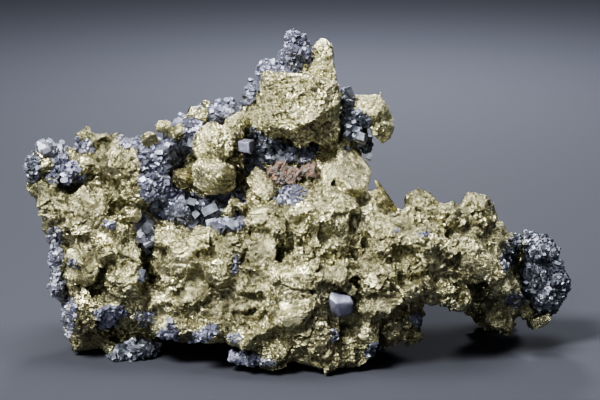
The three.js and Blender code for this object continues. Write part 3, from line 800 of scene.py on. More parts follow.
def hollow_cutters(row, numbers):
    """A few blocks crowded round the line of sight: together they cut one hollow with a ragged rim."""
    across, up, half_x, half_z, roll, depth = row
    ray = seen_ray(across, up)
    turn = ray.to_track_quat("Y", "Z").to_matrix().to_4x4() @ Matrix.Rotation(math.radians(roll), 4, "Y")
    middle = on_front(across, up, DEPTH_OFF_EDGE)
    pieces = []
    for _ in range(HOLLOW_PIECES):
        angle = numbers.random() * 2 * math.pi
        far = math.sqrt(numbers.random()) * HOLLOW_CROWD
        reach = depth * (SHALLOWEST + (1 - SHALLOWEST) * numbers.random())
        shift = Vector((math.cos(angle) * far * half_x, 0, math.sin(angle) * far * half_z))
        place = middle + turn.to_3x3() @ shift + ray * (reach * 0.5 - HOLLOW_FORE)
        wobble = Matrix.Rotation(numbers.normal() * 0.3, 4, "X")
        wobble = wobble @ Matrix.Rotation(numbers.normal() * 0.5, 4, "Y")
        size = (half_x * 0.55, reach * 0.5 + HOLLOW_FORE, half_z * 0.6)
        pieces.append(("grain", placed(place, size, turn, wobble)))
    return pieces


def close_cracks(piece, voxel, gap, shrink=0.0):
    shape_nodes(piece, "closing", lambda geometry, position: closed_gaps(geometry, voxel, gap, shrink))


def soften(piece, voxel, rounds):
    one_skin(piece, voxel * SOFTENED_SKIN)
    finish_with(piece, "SMOOTH", factor=0.5, iterations=rounds)


def with_skin(body, voxel, broad, fine, most, satin=False, cutters=None):
    """One closed rough skin over a body, thinned to at most so many triangles."""
    one_skin(body, voxel, cutters)
    shape_nodes(body, "skin", lambda geometry, position: roughened(geometry, position, broad, fine, satin))
    shape_nodes(body, "held", kept_inside)
    finished_skin(body, most, satin)


def grown_mass(node, numbers):
    """The mass round the frame's solid: faces and lumps set on it, crystals strewn on it, hollows cut."""
    body = merged_copy(node)
    close_cracks(body, CLOSING_VOXEL, CORE_GAP, CORE_SHRINK)
    soften(body, MASS_VOXEL, CORE_SOFTENING)
    faces = [hull("face", *face_with_back(*face)) for face in BROAD_FACES]
    faces += [hull("low_lump", corners) for corners in LOW_LUMPS]
    body = joined([body] + faces, "body")
    body = joined([body, gathered("lumps", [front_lump(row) for row in LUMPS])], "body")
    one_skin(body, MASS_VOXEL * LUMPED_SKIN)
    finish_with(body, "DECIMATE", ratio=ANGULAR_TRIANGLES / triangle_count(body))
    blocks = strewn_places(body, numbers, ["block", "skew", "wedge", "ridge"], *BLOCKS)
    body = joined([body, gathered("blocks", blocks)], "body")
    close_cracks(body, MASS_VOXEL * BLOCKED_SKIN, BLOCK_GAP)
    forms = ["block", "wedge", "skew", "cubo", "ridge"]
    grains = strewn_places(body, numbers, forms, *GRAINS, clear_of_hollows_and_satin)
    body = joined([body, gathered("strewn", grains)], "body")
    cutters = gathered("cutters", [piece for row in HOLLOWS for piece in hollow_cutters(row, numbers)])
    with_skin(body, MASS_VOXEL, 1.0, 1.0, MASS_TRIANGLES, True, cutters)
    bpy.data.objects.remove(cutters)
    return body


def grown_crystal(node, crystals, core, broad, fine, rounds, most):
    """A crystal of hulls, round the frame's solid made thinner by core, or alone if core is None."""
    voxel = FINE_VOXEL if core is None else CRYSTAL_VOXEL
    pieces = [] if core is None else [merged_copy(node)]
    if core:
        close_cracks(pieces[0], voxel, CRYSTAL_GAP, core)
    body = joined(pieces + [hull("crystal", corners) for corners in crystals], "body")
    if crystals:
        one_skin(body, voxel)
    if rounds:
        soften(body, voxel, rounds)
    with_skin(body, voxel, broad, fine, most)
    return body


def finished_skin(body, most, satin=False):
    count = triangle_count(body)
    if count > most:
        finish_with(body, "DECIMATE", ratio=most / count)
    shape_nodes(body, "marks", lambda geometry, position: marked(geometry, position, satin))
    take(body)
    bpy.ops.object.shade_smooth_by_angle(angle=CREASE_ANGLE)


def delivered(piece, name, nodes, material):
    """Brings a finished piece to metres and gives it its place, finish and body."""
    piece.name = name
    piece.data.name = name
    piece.data.transform(Matrix.Scale(MM, 4))
    piece.data.materials.clear()
    for layer in material if isinstance(material, tuple) else (material,):
        piece.data.materials.append(layer)
    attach(piece, "root")
    if nodes:
        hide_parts(*nodes)


def cut_in_lengths(piece, places):
    """Parts a long piece along its own edges, near the given places across."""
    lengths = []
    rest = piece
    for place in places:
        open_for_edit(rest, "DESELECT", "FACE")
        close_edit()
        centres = np.empty(len(rest.data.polygons) * 3)
        rest.data.polygons.foreach_get("center", centres)
        rest.data.polygons.foreach_set("select", centres.reshape(-1, 3)[:, 0] > place)
        bpy.ops.object.mode_set(mode="EDIT")
        bpy.ops.mesh.separate(type="SELECTED")
        close_edit()
        lengths.append(rest)
        rest = next(part for part in bpy.context.selected_objects if part != rest)
    return [*lengths, rest]


# ---- Druses of galena ----


def seen_tree(piece):
    bpy.context.view_layer.update()
    return BVHTree.FromObject(piece, bpy.context.evaluated_depsgraph_get())


def uneven(geometry, position):
    height = facets(position, 0.5, 0.8, 0.9) * BED_SWELL
    height = height + (position.noise(0.2) - 0.55) * 2.5 * BED_SWELL - 0.5
    return geometry.moved(geometry.make("GeometryNodeInputNormal").scaled(height))


def druse(node, numbers, layers):
    """A dark uneven bed in the frame's place, and crystals strewn over it in layers."""
    bed = merged_copy(node)
    one_skin(bed, CLOSING_VOXEL)
    shape_nodes(bed, "uneven", uneven)
    shape_nodes(bed, "held", kept_inside)
    rows = []
    for layer in layers:
        rows += strewn_places(bed, numbers, ["cube", "cube", "cubo", "cube"], *layer, DRUSE_TILT)
    return bed, rows


def patch_rows(patches, numbers, forms, allowed):
    """Crystals seen inside ovals on the front, each set where the sight line meets an allowed piece."""
    rows = []
    for across, up, reach_x, reach_z, roll, count, smallest, largest in patches:
        roll = math.radians(roll)
        for _ in range(count):
            angle = numbers.uniform(0, 2 * math.pi)
            away = numbers.random() ** 0.6
            size = smallest + (largest - smallest) * numbers.random() ** SMALL_BIAS
            shape = numbers.uniform(0.55, 1.0, 3)
            tumble = numbers.uniform(-0.75, 0.75, 3)
            spin = numbers.uniform(-math.pi, math.pi)
            out = numbers.uniform(-0.2, 0.9)
            form = forms[numbers.integers(0, len(forms))]
            u, v = reach_x * away * math.cos(angle), reach_z * away * math.sin(angle)
            a = across + u * math.cos(roll) + v * math.sin(roll)
            z = up - u * math.sin(roll) + v * math.cos(roll)
            ray = seen_ray(a, z)
            hits = [(*tree.ray_cast(EYE, ray), name) for name, tree in TREES.items()]
            hits = [hit for hit in hits if hit[0]]
            if not hits:
                continue
            place, normal, _, _, name = min(hits, key=lambda hit: (hit[0] - EYE).length)
            if name not in allowed:
                continue
            turn = side_outwards(normal) @ Matrix.Rotation(spin, 4, "Y")
            turn = turn @ Euler(tumble).to_matrix().to_4x4()
            rows.append((form, placed(place + normal * size * out, size * shape, turn)))
    return rows


# ---- Finishes ----


def finish(name):
    material = bpy.data.materials.new(name)
    material.use_nodes = True
    tree = material.node_tree
    tree.nodes.clear()
    shader = tree.nodes.new("ShaderNodeBsdfPrincipled")
    output = tree.nodes.new("ShaderNodeOutputMaterial")
    tree.links.new(shader.outputs[0], output.inputs[0])
    place = Socket(tree, tree.nodes.new("ShaderNodeTexCoord").outputs["Object"])
    return material, shader, place.scaled(1 / MM)


def feed(shader, **values):
    for name, value in values.items():
        socket = shader.inputs[name.replace("_", " ").title()]
        if isinstance(value, Socket):
            value.tree.links.new(value.source, socket)
        else:
            socket.default_value = value


def plain_colour(place, colour):
    node = place.make("ShaderNodeRGB")
    node.source.default_value = (*colour, 1)
    return node


def bump(place, strength, distance, height):
    values = {"Strength": strength, "Distance": distance, "Height": height}
    return place.make("ShaderNodeBump", {}, values)


def brass_finish(name, fresh, mid, tarnish):
    """Metal that goes from fresh to tarnished, with pits, specks and veins gone dark, painted shade in
    crevices and recesses, and painted glints.
    """
    material, shader, place = finish(name)
    dent, recess, satin = (
        place.make("ShaderNodeAttribute", {"attribute_name": mark}, output="Fac")
        for mark in ("dent", "recess", "satin")
    )
    bent = place.vector("ADD", place.noise(0.4, 1.0, output=1).scaled(1.5))
    patches = place.noise(0.06, 3.0, 0.6).between(0.40, 0.64)
    mottle = bent.noise(0.9, 4.0, 0.65)
    speckle = bent.noise(2.6, 2.0, 0.8)
    grains = bent.cells(1.75, output=1)
    glint_and_grain = grains.vector("DOT_PRODUCT", (1.0, 0.0, 0.0), output=1)
    bright = mottle.between(0.46, 0.66) * 0.55 + speckle.between(0.48, 0.38) * 0.35
    dim = patches * 0.45 + speckle.between(0.51, 0.59) * 0.35 + satin * 0.35
    colour = plain_colour(place, mid)
    # Painted glints: some grain cells are lightened to the fresh colour, and others are darkened as random
    # grain.
    colour = colour.towards((*fresh, 1), glint_and_grain.between(0.5, 0.95) * 0.25)
    colour = colour.towards((*tarnish, 1), glint_and_grain.between(0.5, 0.05) * 0.25)
    colour = colour.towards((*fresh, 1), bright.clamped())
    colour = colour.towards((*tarnish, 1), dim.clamped())
    pits = 1 - bent.cells(0.95).between(0.12, 0.22)
    pits = pits * place.noise(0.16).between(0.42, 0.58) * (1 - satin * 0.7)
    specks = 1 - bent.cells(2.2).between(0.14, 0.32)
    specks = specks * place.noise(0.3, 2.0).between(0.36, 0.54) * 0.65 * (1 - satin * 0.4)
    # Painted shade: the colour goes dark in the dents and wide recesses of the skin, where shade falls.
    painted_crease_shade = dent.between(0.04, 0.20) * 0.5 + recess.between(1.0, 3.4) * 0.35
    veins = 1 - (bent.noise(1.1, 3.0, 0.7) - 0.5).math("ABSOLUTE").between(0.0, 0.04)
    veins = veins * place.noise(0.2, 2.0).between(0.42, 0.58) * 0.5 * (1 - satin * 0.5)
    dark = pits.math("MAXIMUM", painted_crease_shade).math("MAXIMUM", specks).math("MAXIMUM", veins).clamped()
    colour = colour.towards((*DEEPEST, 1), dark)
    grain = bent.noise(2.3, 3.0, 0.65)
    wrinkles = bent.noise(0.8, 2.0, 0.6)
    rough = (1 - satin * 0.4) * (place.noise(0.11, 2.0, 0.6).between(0.38, 0.58) * 0.75 + 0.3)
    height = (grain * 0.5 + wrinkles * 0.6) * rough - pits * 0.9 - specks * 0.4 - veins * 0.6
    tilt = grains.centred().scaled(rough * 0.16)
    plates = bent.cells(0.75, output=1).centred().scaled(rough * 0.12)
    normal = bump(place, 1.0, 0.0008, height).vector("ADD", tilt).vector("ADD", plates)
    feed(
        shader, base_color=colour, metallic=1.0, normal=normal.vector("NORMALIZE"),
        roughness=0.20 + mottle * 0.12 + dark * 0.35 + patches * 0.06 + satin * 0.2,
    )
    return material


def galena_finish(name, pale, deep, dullness):
    material, shader, place = finish(name)
    tone = place.noise(0.3, 2.0, 0.6).between(0.3, 0.7)
    grain = place.noise(2.5, 2.0, 0.6)
    feed(
        shader, base_color=plain_colour(place, deep).towards((*pale, 1), tone), metallic=0.8,
        normal=bump(place, 0.35, 0.0002, grain), roughness=dullness + grain * 0.15,
    )
    return material


def dull_finish(name, first, second):
    material, shader, place = finish(name)
    tone = place.noise(0.6, 3.0, 0.6).between(0.35, 0.65)
    colour = plain_colour(place, first).towards((*second, 1), tone)
    feed(shader, base_color=colour, normal=bump(place, 0.6, 0.0003, tone), roughness=0.75)
    return material


DEEPEST = (0.035, 0.03, 0.015)
PAPER = (0.043, 0.046, 0.060)
# Brass: fresh, middling and tarnished colour. Galena: pale and deep colour, dullness.
BRASS = brass_finish("brassy_chalcopyrite", (0.88, 0.85, 0.57), (0.52, 0.50, 0.335), (0.21, 0.20, 0.135))
BRIGHT_BRASS = brass_finish("bright_brass_finish", (1, 0.97, 0.69), (0.74, 0.71, 0.48), (0.4, 0.38, 0.26))
# A brightened copy of the brass: pale, and made lighter still as a painted highlight.
PALE_BRASS_AND_HIGHLIGHT = brass_finish("pale_brass_and_painted_highlight", (0.98, 0.95, 0.72), (0.88, 0.84, 0.58), (0.66, 0.62, 0.40))
OLIVE_BRASS = brass_finish("olive_brass_finish", (0.46, 0.43, 0.26), (0.3, 0.275, 0.15), (0.15, 0.135, 0.085))
GALENA = galena_finish("lead_grey_galena", (0.30, 0.31, 0.38), (0.19, 0.195, 0.25), 0.46)
PALE_GALENA = galena_finish("pale_grey_galena", (0.33, 0.34, 0.395), (0.21, 0.215, 0.255), 0.48)
DARK_GALENA = galena_finish("dark_galena_finish", (0.26, 0.275, 0.32), (0.12, 0.13, 0.155), 0.42)
# The druse bed's dark colour is partly its own and partly painted shade in the gaps between its crystals.
DRUSE_BED_AND_SHADE = dull_finish("druse_bed_and_painted_shade", (0.13, 0.135, 0.16), (0.25, 0.255, 0.295))
CARBONATE = dull_finish("orange_carbonate", (0.23, 0.15, 0.11), (0.17, 0.165, 0.16))


# ---- Camera, light and floor ----


def camera():
    lens = bpy.data.cameras.new("front_view")
    lens.sensor_width = SENSOR
    lens.lens = SENSOR * SIGHT_DISTANCE / VIEW_WIDTH
    lens.clip_start = 0.05
    lens.clip_end = 20
    eye = put_in_scene("front_view", lens)
    eye.location = EYE * MM
    eye.rotation_euler = (math.pi / 2 - SIGHT_TILT, 0, 0)
    bpy.context.scene.camera = eye


FLOOR_SIZE = 6
BACKDROP_HEIGHT = 3
MIDDLE = (0, 0, 0.05)
# name, place, what it is aimed at, width, height (all in metres), watts, colour
SOFTBOXES = [
    ("key_softbox", (-0.44, -0.52, 0.84), MIDDLE, 0.34, 0.34, 24, (1.0, 0.985, 0.95)),
    ("top_softbox", (0.12, 0.1, 0.95), MIDDLE, 0.6, 0.5, 7, (0.97, 0.98, 1.0)),
    ("front_fill", (-0.35, -1.2, 0.5), MIDDLE, 0.5, 0.5, 2, (0.94, 0.96, 1.0)),
    ("low_fill", (-0.45, -1.0, 0.10), MIDDLE, 0.7, 0.25, 2.2, (0.95, 0.97, 1.0)),
    ("backdrop_glow", (0.04, 0.66, 0.38), (0.04, 0.62, 0.0), 0.12, 0.12, 3.6, (0.97, 0.98, 1.0)),
]


def softbox(name, place, aim, width, height, watts, colour):
    lamp = bpy.data.lights.new(name, "AREA")
    lamp.shape = "RECTANGLE"
    lamp.size = width
    lamp.size_y = height
    lamp.energy = watts
    lamp.color = colour
    holder = put_in_scene(name, lamp)
    holder.location = place
    holder.rotation_euler = (Vector(aim) - Vector(place)).to_track_quat("-Z", "Y").to_euler()


def studio():
    for row in SOFTBOXES:
        softbox(*row)
    world = bpy.data.worlds.new("studio")
    world.use_nodes = True
    background = world.node_tree.nodes["Background"]
    background.inputs["Color"].default_value = (0.31, 0.32, 0.35, 1)
    background.inputs["Strength"].default_value = 0.42
    bpy.context.scene.world = world
    bpy.context.scene.view_settings.view_transform = VIEW
    bpy.context.scene.view_settings.look = LOOK


def floor_and_backdrop():
    """A plain paper floor with an upright backdrop far behind the specimen."""
    deselect()
    bpy.ops.mesh.primitive_plane_add(size=FLOOR_SIZE, location=(0, 0, 0))
    sweep = bpy.context.active_object
    sweep.name = "studio_floor"
    open_for_edit(sweep, "DESELECT")
    close_edit()
    for edge in sweep.data.edges:
        edge.select = all(sweep.data.vertices[i].co.y > 0 for i in edge.vertices)
    bpy.ops.object.mode_set(mode="EDIT")
    bpy.ops.mesh.extrude_region_move(TRANSFORM_OT_translate={"value": (0, 0, BACKDROP_HEIGHT)})
    close_edit()
    material, shader, _ = finish("studio_paper")
    feed(shader, base_color=(*PAPER, 1), roughness=0.9)
    sweep.data.materials.append(material)


camera()
studio()
floor_and_backdrop()


# ---- The specimen, piece by piece ----


def frame_front():
    """Where a sight line meets the frame, with the gaps between its lumps closed."""
    whole = joined([merged_copy(node) for node in frame["nodes"]], "frame_front")
    close_cracks(whole, CLOSING_VOXEL, CORE_GAP)
    tree = seen_tree(whole)
    bpy.data.objects.remove(whole)
    return tree


FRONT = frame_front()
KEPT_CLEAR = [(on_front(across, up), reach) for across, up, reach in SATIN_FACETS]
KEPT_CLEAR += [(on_front(row[0], row[1]), max(row[2], row[3])) for row in HOLLOWS]

mass = grown_mass("chalcopyrite_mass", np.random.default_rng(7))
TREES = {"mass": seen_tree(mass)}
for number, length in enumerate(cut_in_lengths(mass, LENGTHS_END_AT), 1):
    delivered(length, f"brassy_mass_{number}", ["chalcopyrite_mass"], BRASS)

# The corners of single crystals as seen from the front: across, up, and how deep (y), all in millimetres.
SUMMIT = [
    [
        (-11.5, 110.5, -9.5), (-1, 109.5, -11), (6, 106.5, -12.5), (14, 105.5, -9), (14.5, 98, -10.5),
        (7, 92, -16.5), (-1, 89.5, -17.3), (-9.5, 90.5, -16), (-12, 100, -13.5), (-14.3, 104, -6),
        (-15, 93, -7), (-13, 109, -5), (-12.5, 88.5, -9), (-9.5, 85.8, -10), (0, 87.5, -12),
        (-13, 110, 3), (14, 106.5, 5), (15, 96, 5), (-14, 90, 5), (12, 89, 3), (-9, 86, 0),
    ],
    [
        (6, 104, -8), (15.2, 104, -5), (15.8, 97, -6), (13.5, 91.5, -9), (8, 91.5, -13), (5.5, 97, -13.5),
        (9.5, 100, -13.5), (15, 104, 3), (15, 91, 3),
    ],
    [
        (-4.5, 86, -8), (-3, 90.5, -10), (4, 91, -12), (6.5, 87, -13), (4, 83, -11), (-1, 82.2, -9),
        (-4, 86, 0), (6, 90, 0), (4, 83, 0),
    ],
    [
        (5, 88, -11), (7, 92, -11), (14, 92.5, -9), (15.7, 88, -7), (13.5, 84.5, -8), (8, 83.6, -10),
        (5.5, 85, -11), (15.5, 92, 2), (14, 84, 2), (6, 84, 2),
    ],
]
PEAK = [
    [
        (7.3, 120.5, 7), (10, 121.6, 7), (11.7, 120.8, 7.5), (12.6, 117, 5), (12.4, 112, 4),
        (5, 112.5, 3.5), (4.2, 116, 5), (8, 115, 2.5), (8, 120.5, 14), (12.4, 117, 15), (12, 111, 15),
        (5, 113, 12),
    ],
    [
        (0.5, 108.5, 3), (2.5, 113, 3), (8, 114, 2), (12.5, 113.5, 4), (14, 109.5, 3), (14.8, 104.5, 4),
        (9, 104, 1.8), (1, 104, 2), (14.5, 104, 15), (12, 113, 15), (2, 112, 10), (0.5, 105, 10),
    ],
]
KNOB = [
    [
        (20.3, 95.5, -3), (28.5, 94, -6.5), (31.5, 97.5, -3), (30, 101.3, 2), (21, 101.3, 2),
        (34.3, 95, 0), (35, 92, 0), (27.5, 90.5, -4), (22, 92, -2), (20.5, 101, 10), (30, 101, 11),
        (34.5, 93, 10), (22, 91, 8),
    ],
    [
        (26.8, 90.5, -3), (27.5, 86.5, -4.5), (31, 83.3, -2), (34.3, 86, -2), (35.1, 91, -1),
        (30.5, 91.5, -6), (27, 90, 6), (31, 84, 6), (34.8, 90, 8),
    ],
]
PAIR = [
    [
        (-38.8, 75.5, -15), (-38.3, 70, -15), (-36, 66.5, -15), (-32.5, 65, -16), (-26, 65.2, -15),
        (-23, 67.8, -13), (-22.2, 72, -13), (-23.5, 75.5, -13), (-27, 76, -18.5), (-34, 74.5, -20),
        (-30, 69, -20.7), (-30, 77.8, -15), (-35.5, 78, -14), (-38, 76, -3), (-24, 76, -3), (-24, 67, -3),
        (-37, 68, -3),
    ],
    [
        (-38, 79, -12), (-38.3, 83, -12), (-36.8, 87.5, -12), (-34, 91, -9), (-30, 91.6, -8),
        (-26.5, 89, -9), (-24.2, 85, -10), (-24.5, 79.5, -12), (-29, 77, -15), (-33.5, 80, -17),
        (-34, 86, -15), (-28, 86, -13.5), (-37, 86, 0), (-31, 91, 0), (-25, 86, 0), (-26, 78, 0),
        (-37, 78, 0),
    ],
    [
        (-27, 89.5, -8), (-25, 92.5, -6), (-20.8, 95.2, -4), (-19, 92.8, -3), (-20, 87.5, -5),
        (-23, 83, -7), (-26, 83, -9), (-23, 90, -10), (-26, 92, 2), (-20, 95, 2), (-20, 87, 2),
        (-25, 83, 2),
    ],
]
POINTED = [[
    (-19.3, 69.7, -13), (-15, 75.4, -10), (-10, 70.5, -13), (-9, 66, -16), (-11.6, 61.7, -17.8),
    (-15.5, 65, -16.5), (-5, 65.5, -9), (-5.5, 61, -9), (-8, 59, -11), (-18.5, 70, -4), (-14.5, 75, -4),
    (-5, 67, -4), (-9, 60, -4),
]]
CLEAVED = [
    [
        (14.6, 81.6, -1), (18.5, 82.4, 0), (21.2, 81.2, 0), (25.3, 76.3, -2), (27, 73, -4),
        (26, 68.5, -8), (24, 66.3, -10), (19.5, 67, -13.5), (14, 73, -11.5), (15, 81.5, 5), (26.5, 74, 5),
        (25, 67, 4), (12, 66, 4), (22, 63.5, -8), (14, 63, -9),
    ],
    [
        (3, 73, -6), (5, 79, -3), (13, 80, -2), (14.5, 73, -10.5), (11, 66, -12), (5, 67, -9), (4, 78, 4),
        (12, 79, 4), (4, 68, 4),
    ],
]
SMALL_BY_PAIR = [[
    (-45.3, 74, -8), (-40, 74.6, -7), (-38, 71, -9), (-39.5, 67.6, -10), (-43, 66.6, -10),
    (-46.2, 70, -8), (-44, 71.5, -12), (-41, 70.5, -12.4), (-45, 73.5, -3), (-39, 73, -3),
    (-39.5, 68, -3), (-45, 68, -3),
]]
PALE = [[
    (-65, 58.5, -15.5), (-63, 61, -15), (-59.5, 61, -15), (-57.3, 59, -15.5), (-57.2, 56, -16),
    (-59, 54.4, -16), (-62.3, 55.4, -16.5), (-63, 59, -18.5), (-60, 58.5, -19.2), (-60.5, 56.5, -19),
    (-63.5, 59, -12), (-58, 59, -12), (-60, 55, -12),
]]
LONG_BLADE = [[
    (28.2, 70.3, -10), (29.8, 69.3, -10.5), (32.6, 65.5, -11.5), (35.6, 61, -12.5), (37, 58.5, -12.5),
    (34.6, 58.5, -13), (31.2, 62.5, -12.5), (29.2, 67, -11.2), (29.4, 69.6, -8.8), (35.4, 61, -11),
]]
SHORT_BLADE = [[
    (26.6, 65.4, -14.5), (28.4, 66.8, -14), (31.6, 66.4, -14), (33.2, 64, -14.5), (34.6, 60, -15.5),
    (32.4, 59, -16.4), (29.3, 61.5, -16), (28.4, 66, -12.8), (33, 63.6, -13.2),
]]
GALENA_CUBE = [[
    (-21.9, 84.2, -11.5), (-19.6, 85.2, -8), (-16, 84.8, -9.6), (-18, 83.9, -13.4), (-21.5, 80.6, -12.2),
    (-17.6, 79.8, -13.8), (-15.8, 81.2, -10.4), (-19, 81.6, -8),
]]
PERCHED = [[
    (12.4, 28.9, -39), (19.2, 27.4, -38.6), (20.4, 24.9, -41), (14.4, 24.9, -43), (11.7, 26.8, -41),
    (20, 21.8, -40.4), (15.6, 20, -41.8), (12.5, 22.3, -41), (11.8, 25, -40.6), (12, 28, -33.5),
    (19.5, 26.5, -33.5), (19.5, 21, -33.5), (13, 20.5, -33.5),
]]
# node, corners, how much thinner its core, broad relief, fine relief, rounds of softening, most
# triangles, finish, slot
CRYSTALS = [
    ("summit_crystal", SUMMIT, 1.4, 0.6, 1.7, 0, 52000, BRIGHT_BRASS, "chalcopyrite"),
    ("peak_crystal", PEAK, 1.4, 0.5, 1.5, 0, 16000, BRIGHT_BRASS, "chalcopyrite"),
    ("right_knob_crystal", KNOB, 2.0, 0.4, 1.3, 0, 20000, BRIGHT_BRASS, "chalcopyrite"),
    ("stacked_crystal_pair", PAIR, 2.0, 0.5, 1.3, 1, 34000, BRIGHT_BRASS, "chalcopyrite"),
    ("small_crystal_by_pair", SMALL_BY_PAIR, None, 0.1, 0.3, 2, 8000, OLIVE_BRASS, "tarnished_chalcopyrite"),
    ("pointed_crystal", POINTED, 2.0, 0.2, 1.0, 0, 14000, BRASS, "chalcopyrite"),
    # The cleaved and pale crystals take the brightened brass, which is a painted highlight.
    ("cleaved_crystal", CLEAVED, 2.0, 0.15, 0.7, 0, 24000, PALE_BRASS_AND_HIGHLIGHT, "fresh_chalcopyrite"),
    ("pale_crystal", PALE, None, 0.05, 0.12, 5, 8000, PALE_BRASS_AND_HIGHLIGHT, "fresh_chalcopyrite"),
    ("long_blade", LONG_BLADE, None, 0.0, 0.2, 0, 6000, OLIVE_BRASS, "tarnished_chalcopyrite"),
    ("short_blade", SHORT_BLADE, None, 0.0, 0.2, 0, 5000, OLIVE_BRASS, "tarnished_chalcopyrite"),
    ("end_flake", (), 0.0, 0.1, 0.4, 0, 5000, BRASS, "chalcopyrite"),
    ("galena_cube", GALENA_CUBE, None, 0.0, 0.12, 0, 6000, GALENA, "galena"),
    ("perched_galena_crystal", PERCHED, None, 0.0, 0.15, 1, 9000, GALENA, "galena"),
]
for node, *shape, material, slot in CRYSTALS:
    body = grown_crystal(node, *shape)
    TREES[node] = seen_tree(body)
    delivered(body, node + "_grown", [node], material)

numbers = np.random.default_rng(31)
# node, finish, slot, and layers of crystals: how many, smallest, largest, how proud
DRUSES = [
    ("galena_slope_crust", GALENA, "galena", [
        (1800, 0.5, 1.15, (0.2, 1.3)), (420, 0.9, 1.6, (0.4, 1.4)),
    ]),
    ("galena_summit_cluster", GALENA, "galena", [
        (1900, 0.35, 0.9, (0.2, 1.3)), (120, 0.8, 1.5, (0.4, 1.4)),
    ]),
    ("galena_right_cluster", DARK_GALENA, "galena", [
        (900, 0.4, 1, (0.2, 1.3)), (60, 0.9, 1.6, (0.4, 1.4)),
    ]),
    ("galena_end_druse", DARK_GALENA, "dark_galena", [
        (2900, 0.35, 0.9, (0.2, 1.4)), (160, 0.7, 1.2, (0.4, 1.4)),
    ]),
    ("galena_left_rim", GALENA, "galena", [(900, 0.4, 1.2, (0.2, 1.4))]),
    ("galena_left_patch", GALENA, "galena", [(300, 0.35, 0.9, (0.2, 1.3))]),
    ("galena_left_column", GALENA, "galena", [(700, 0.3, 0.9, (0.2, 1.3))]),
    ("galena_left_foot", DARK_GALENA, "dark_galena", [(900, 0.35, 1, (0.2, 1.4))]),
    ("galena_foot_fringe", GALENA, "galena", [(500, 0.35, 0.9, (0.2, 1.3))]),
    ("galena_foot_knob", DARK_GALENA, "dark_galena", [(200, 0.35, 0.8, (0.2, 1.3))]),
    ("carbonate_crust", CARBONATE, "carbonate", [(900, 0.3, 0.9, (0.1, 0.9))]),
]
for node, material, slot, layers in DRUSES:
    bed, rows = druse(node, numbers, layers)
    TREES[node] = seen_tree(bed)
    bed_faces = len(bed.data.polygons)
    whole = joined([bed, gathered(node + "_crystals", rows)], node)
    # The bed under the crystals is dark partly as painted shade between them.
    delivered(whole, node + "_druse", [node], (DRUSE_BED_AND_SHADE, material))
    whole.data.polygons.foreach_set("material_index", np.arange(len(whole.data.polygons)) >= bed_faces)

# Patches of crystals on the front: across, up, reach across, reach up, roll, how many, smallest, largest.
GALENA_PATCHES = [
    (-50, 79, 8, 9, 30, 585, 0.4, 1.1), (-52, 69, 6, 8, 0, 390, 0.4, 1.1),
    (-44, 86, 9, 4, -30, 273, 0.4, 1.1), (-30, 95, 9, 3, -14, 203, 0.4, 1),
    (-24, 100, 4, 8, 10, 203, 0.4, 1), (-18, 104, 4, 7, 20, 203, 0.4, 1),
    (-42, 60, 11, 6, 6, 240, 0.45, 1.2), (-55.4, 50, 2.8, 6.6, -8, 117, 0.5, 1.3),
    (-26, 54.6, 6, 2.8, 0, 94, 0.6, 1.5), (-22, 62, 3, 4, 0, 94, 0.5, 1.2),
    (-16, 80, 4, 9, 0, 203, 0.35, 0.9), (-3, 64.4, 6.4, 3.4, -10, 203, 0.35, 0.9),
    (1, 79, 5, 3, 0, 94, 0.35, 0.9), (-60, 84.4, 6, 3, 0, 172, 0.4, 1),
    (-80, 83.4, 4, 2, 0, 62, 0.35, 0.9), (-69.4, 53.8, 2.6, 1.5, 0, 47, 0.3, 0.7),
    (-68.5, 21.4, 6.2, 2.6, -4, 203, 0.35, 0.9), (-56, 20, 4, 3.4, 0, 55, 0.3, 0.8),
    (-83.4, 21, 2.6, 6.4, 0, 101, 0.3, 0.8), (-57, 35, 2, 2, 0, 31, 0.4, 0.9),
    (-82, 39.4, 2, 2, 0, 23, 0.3, 0.8), (-35, 12.6, 7, 2.2, -34, 179, 0.35, 0.9),
    (-47, 13.4, 3.8, 4, 0, 125, 0.35, 0.9), (-23, 12, 3, 1.6, 0, 39, 0.35, 0.8),
    (-23, 39, 1.2, 4, 10, 47, 0.3, 0.6), (44.5, 19, 3.6, 2, 0, 86, 0.35, 0.9),
    (46.6, 50.2, 3, 1, 0, 17, 0.3, 0.6), (36.6, 51.6, 1.6, 1, 0, 9, 0.3, 0.6),
    (19, 81, 2.4, 2, 0, 31, 0.35, 0.8),
]
# Dark galena set mostly in hollows and along the bottom: its darkness there is partly painted shade.
DARK_AND_SHADED_PATCHES = [
    (-9, 81, 7, 5, 20, 220, 0.4, 1.1), (3, 81.5, 5, 2.4, 0, 90, 0.35, 0.9),
    (-42, 60, 11, 6, 6, 300, 0.45, 1.2), (78.6, 44, 3, 8, 24, 221, 0.3, 0.8),
    (80, 26, 4, 3, 0, 102, 0.3, 0.7), (21, 91, 6, 5, 0, 272, 0.4, 1.1),
    (27, 80, 2.4, 6, 10, 85, 0.35, 0.9), (28, 7.6, 3.6, 2.4, -24, 136, 0.35, 0.9),
    (-58, 8, 9, 3.4, 0, 357, 0.35, 1), (-97, 75, 3, 6, 0, 170, 0.3, 0.9),
    (-16, 4.6, 9, 1.6, 14, 136, 0.35, 0.8),
]
PLATE_PATCHES = [
    (-88.4, 34, 1.6, 14, 3, 260, 0.35, 0.9), (-85, 20, 2.2, 8, -10, 140, 0.3, 0.8),
    (-89, 49, 3, 4, 0, 90, 0.3, 0.9), (-90, 82, 5, 2.4, 0, 90, 0.7, 1.9),
    (-86, 70.5, 3.4, 2.6, 0, 30, 0.6, 1.5), (-78, 82, 3, 2, 0, 40, 0.5, 1.2),
    (-56, 50.5, 2.8, 6.4, -8, 60, 0.7, 1.9), (-30.4, 58.5, 3.6, 3, 0, 26, 0.8, 2),
]
ON_MASS = {"mass", "galena_slope_crust", "galena_left_rim", "carbonate_crust", "galena_left_patch"}
ON_ENDS = {"galena_end_druse", "galena_left_foot", "right_knob_crystal", "galena_right_cluster"}
ON_LEFT = {"galena_left_column", "galena_left_foot"}
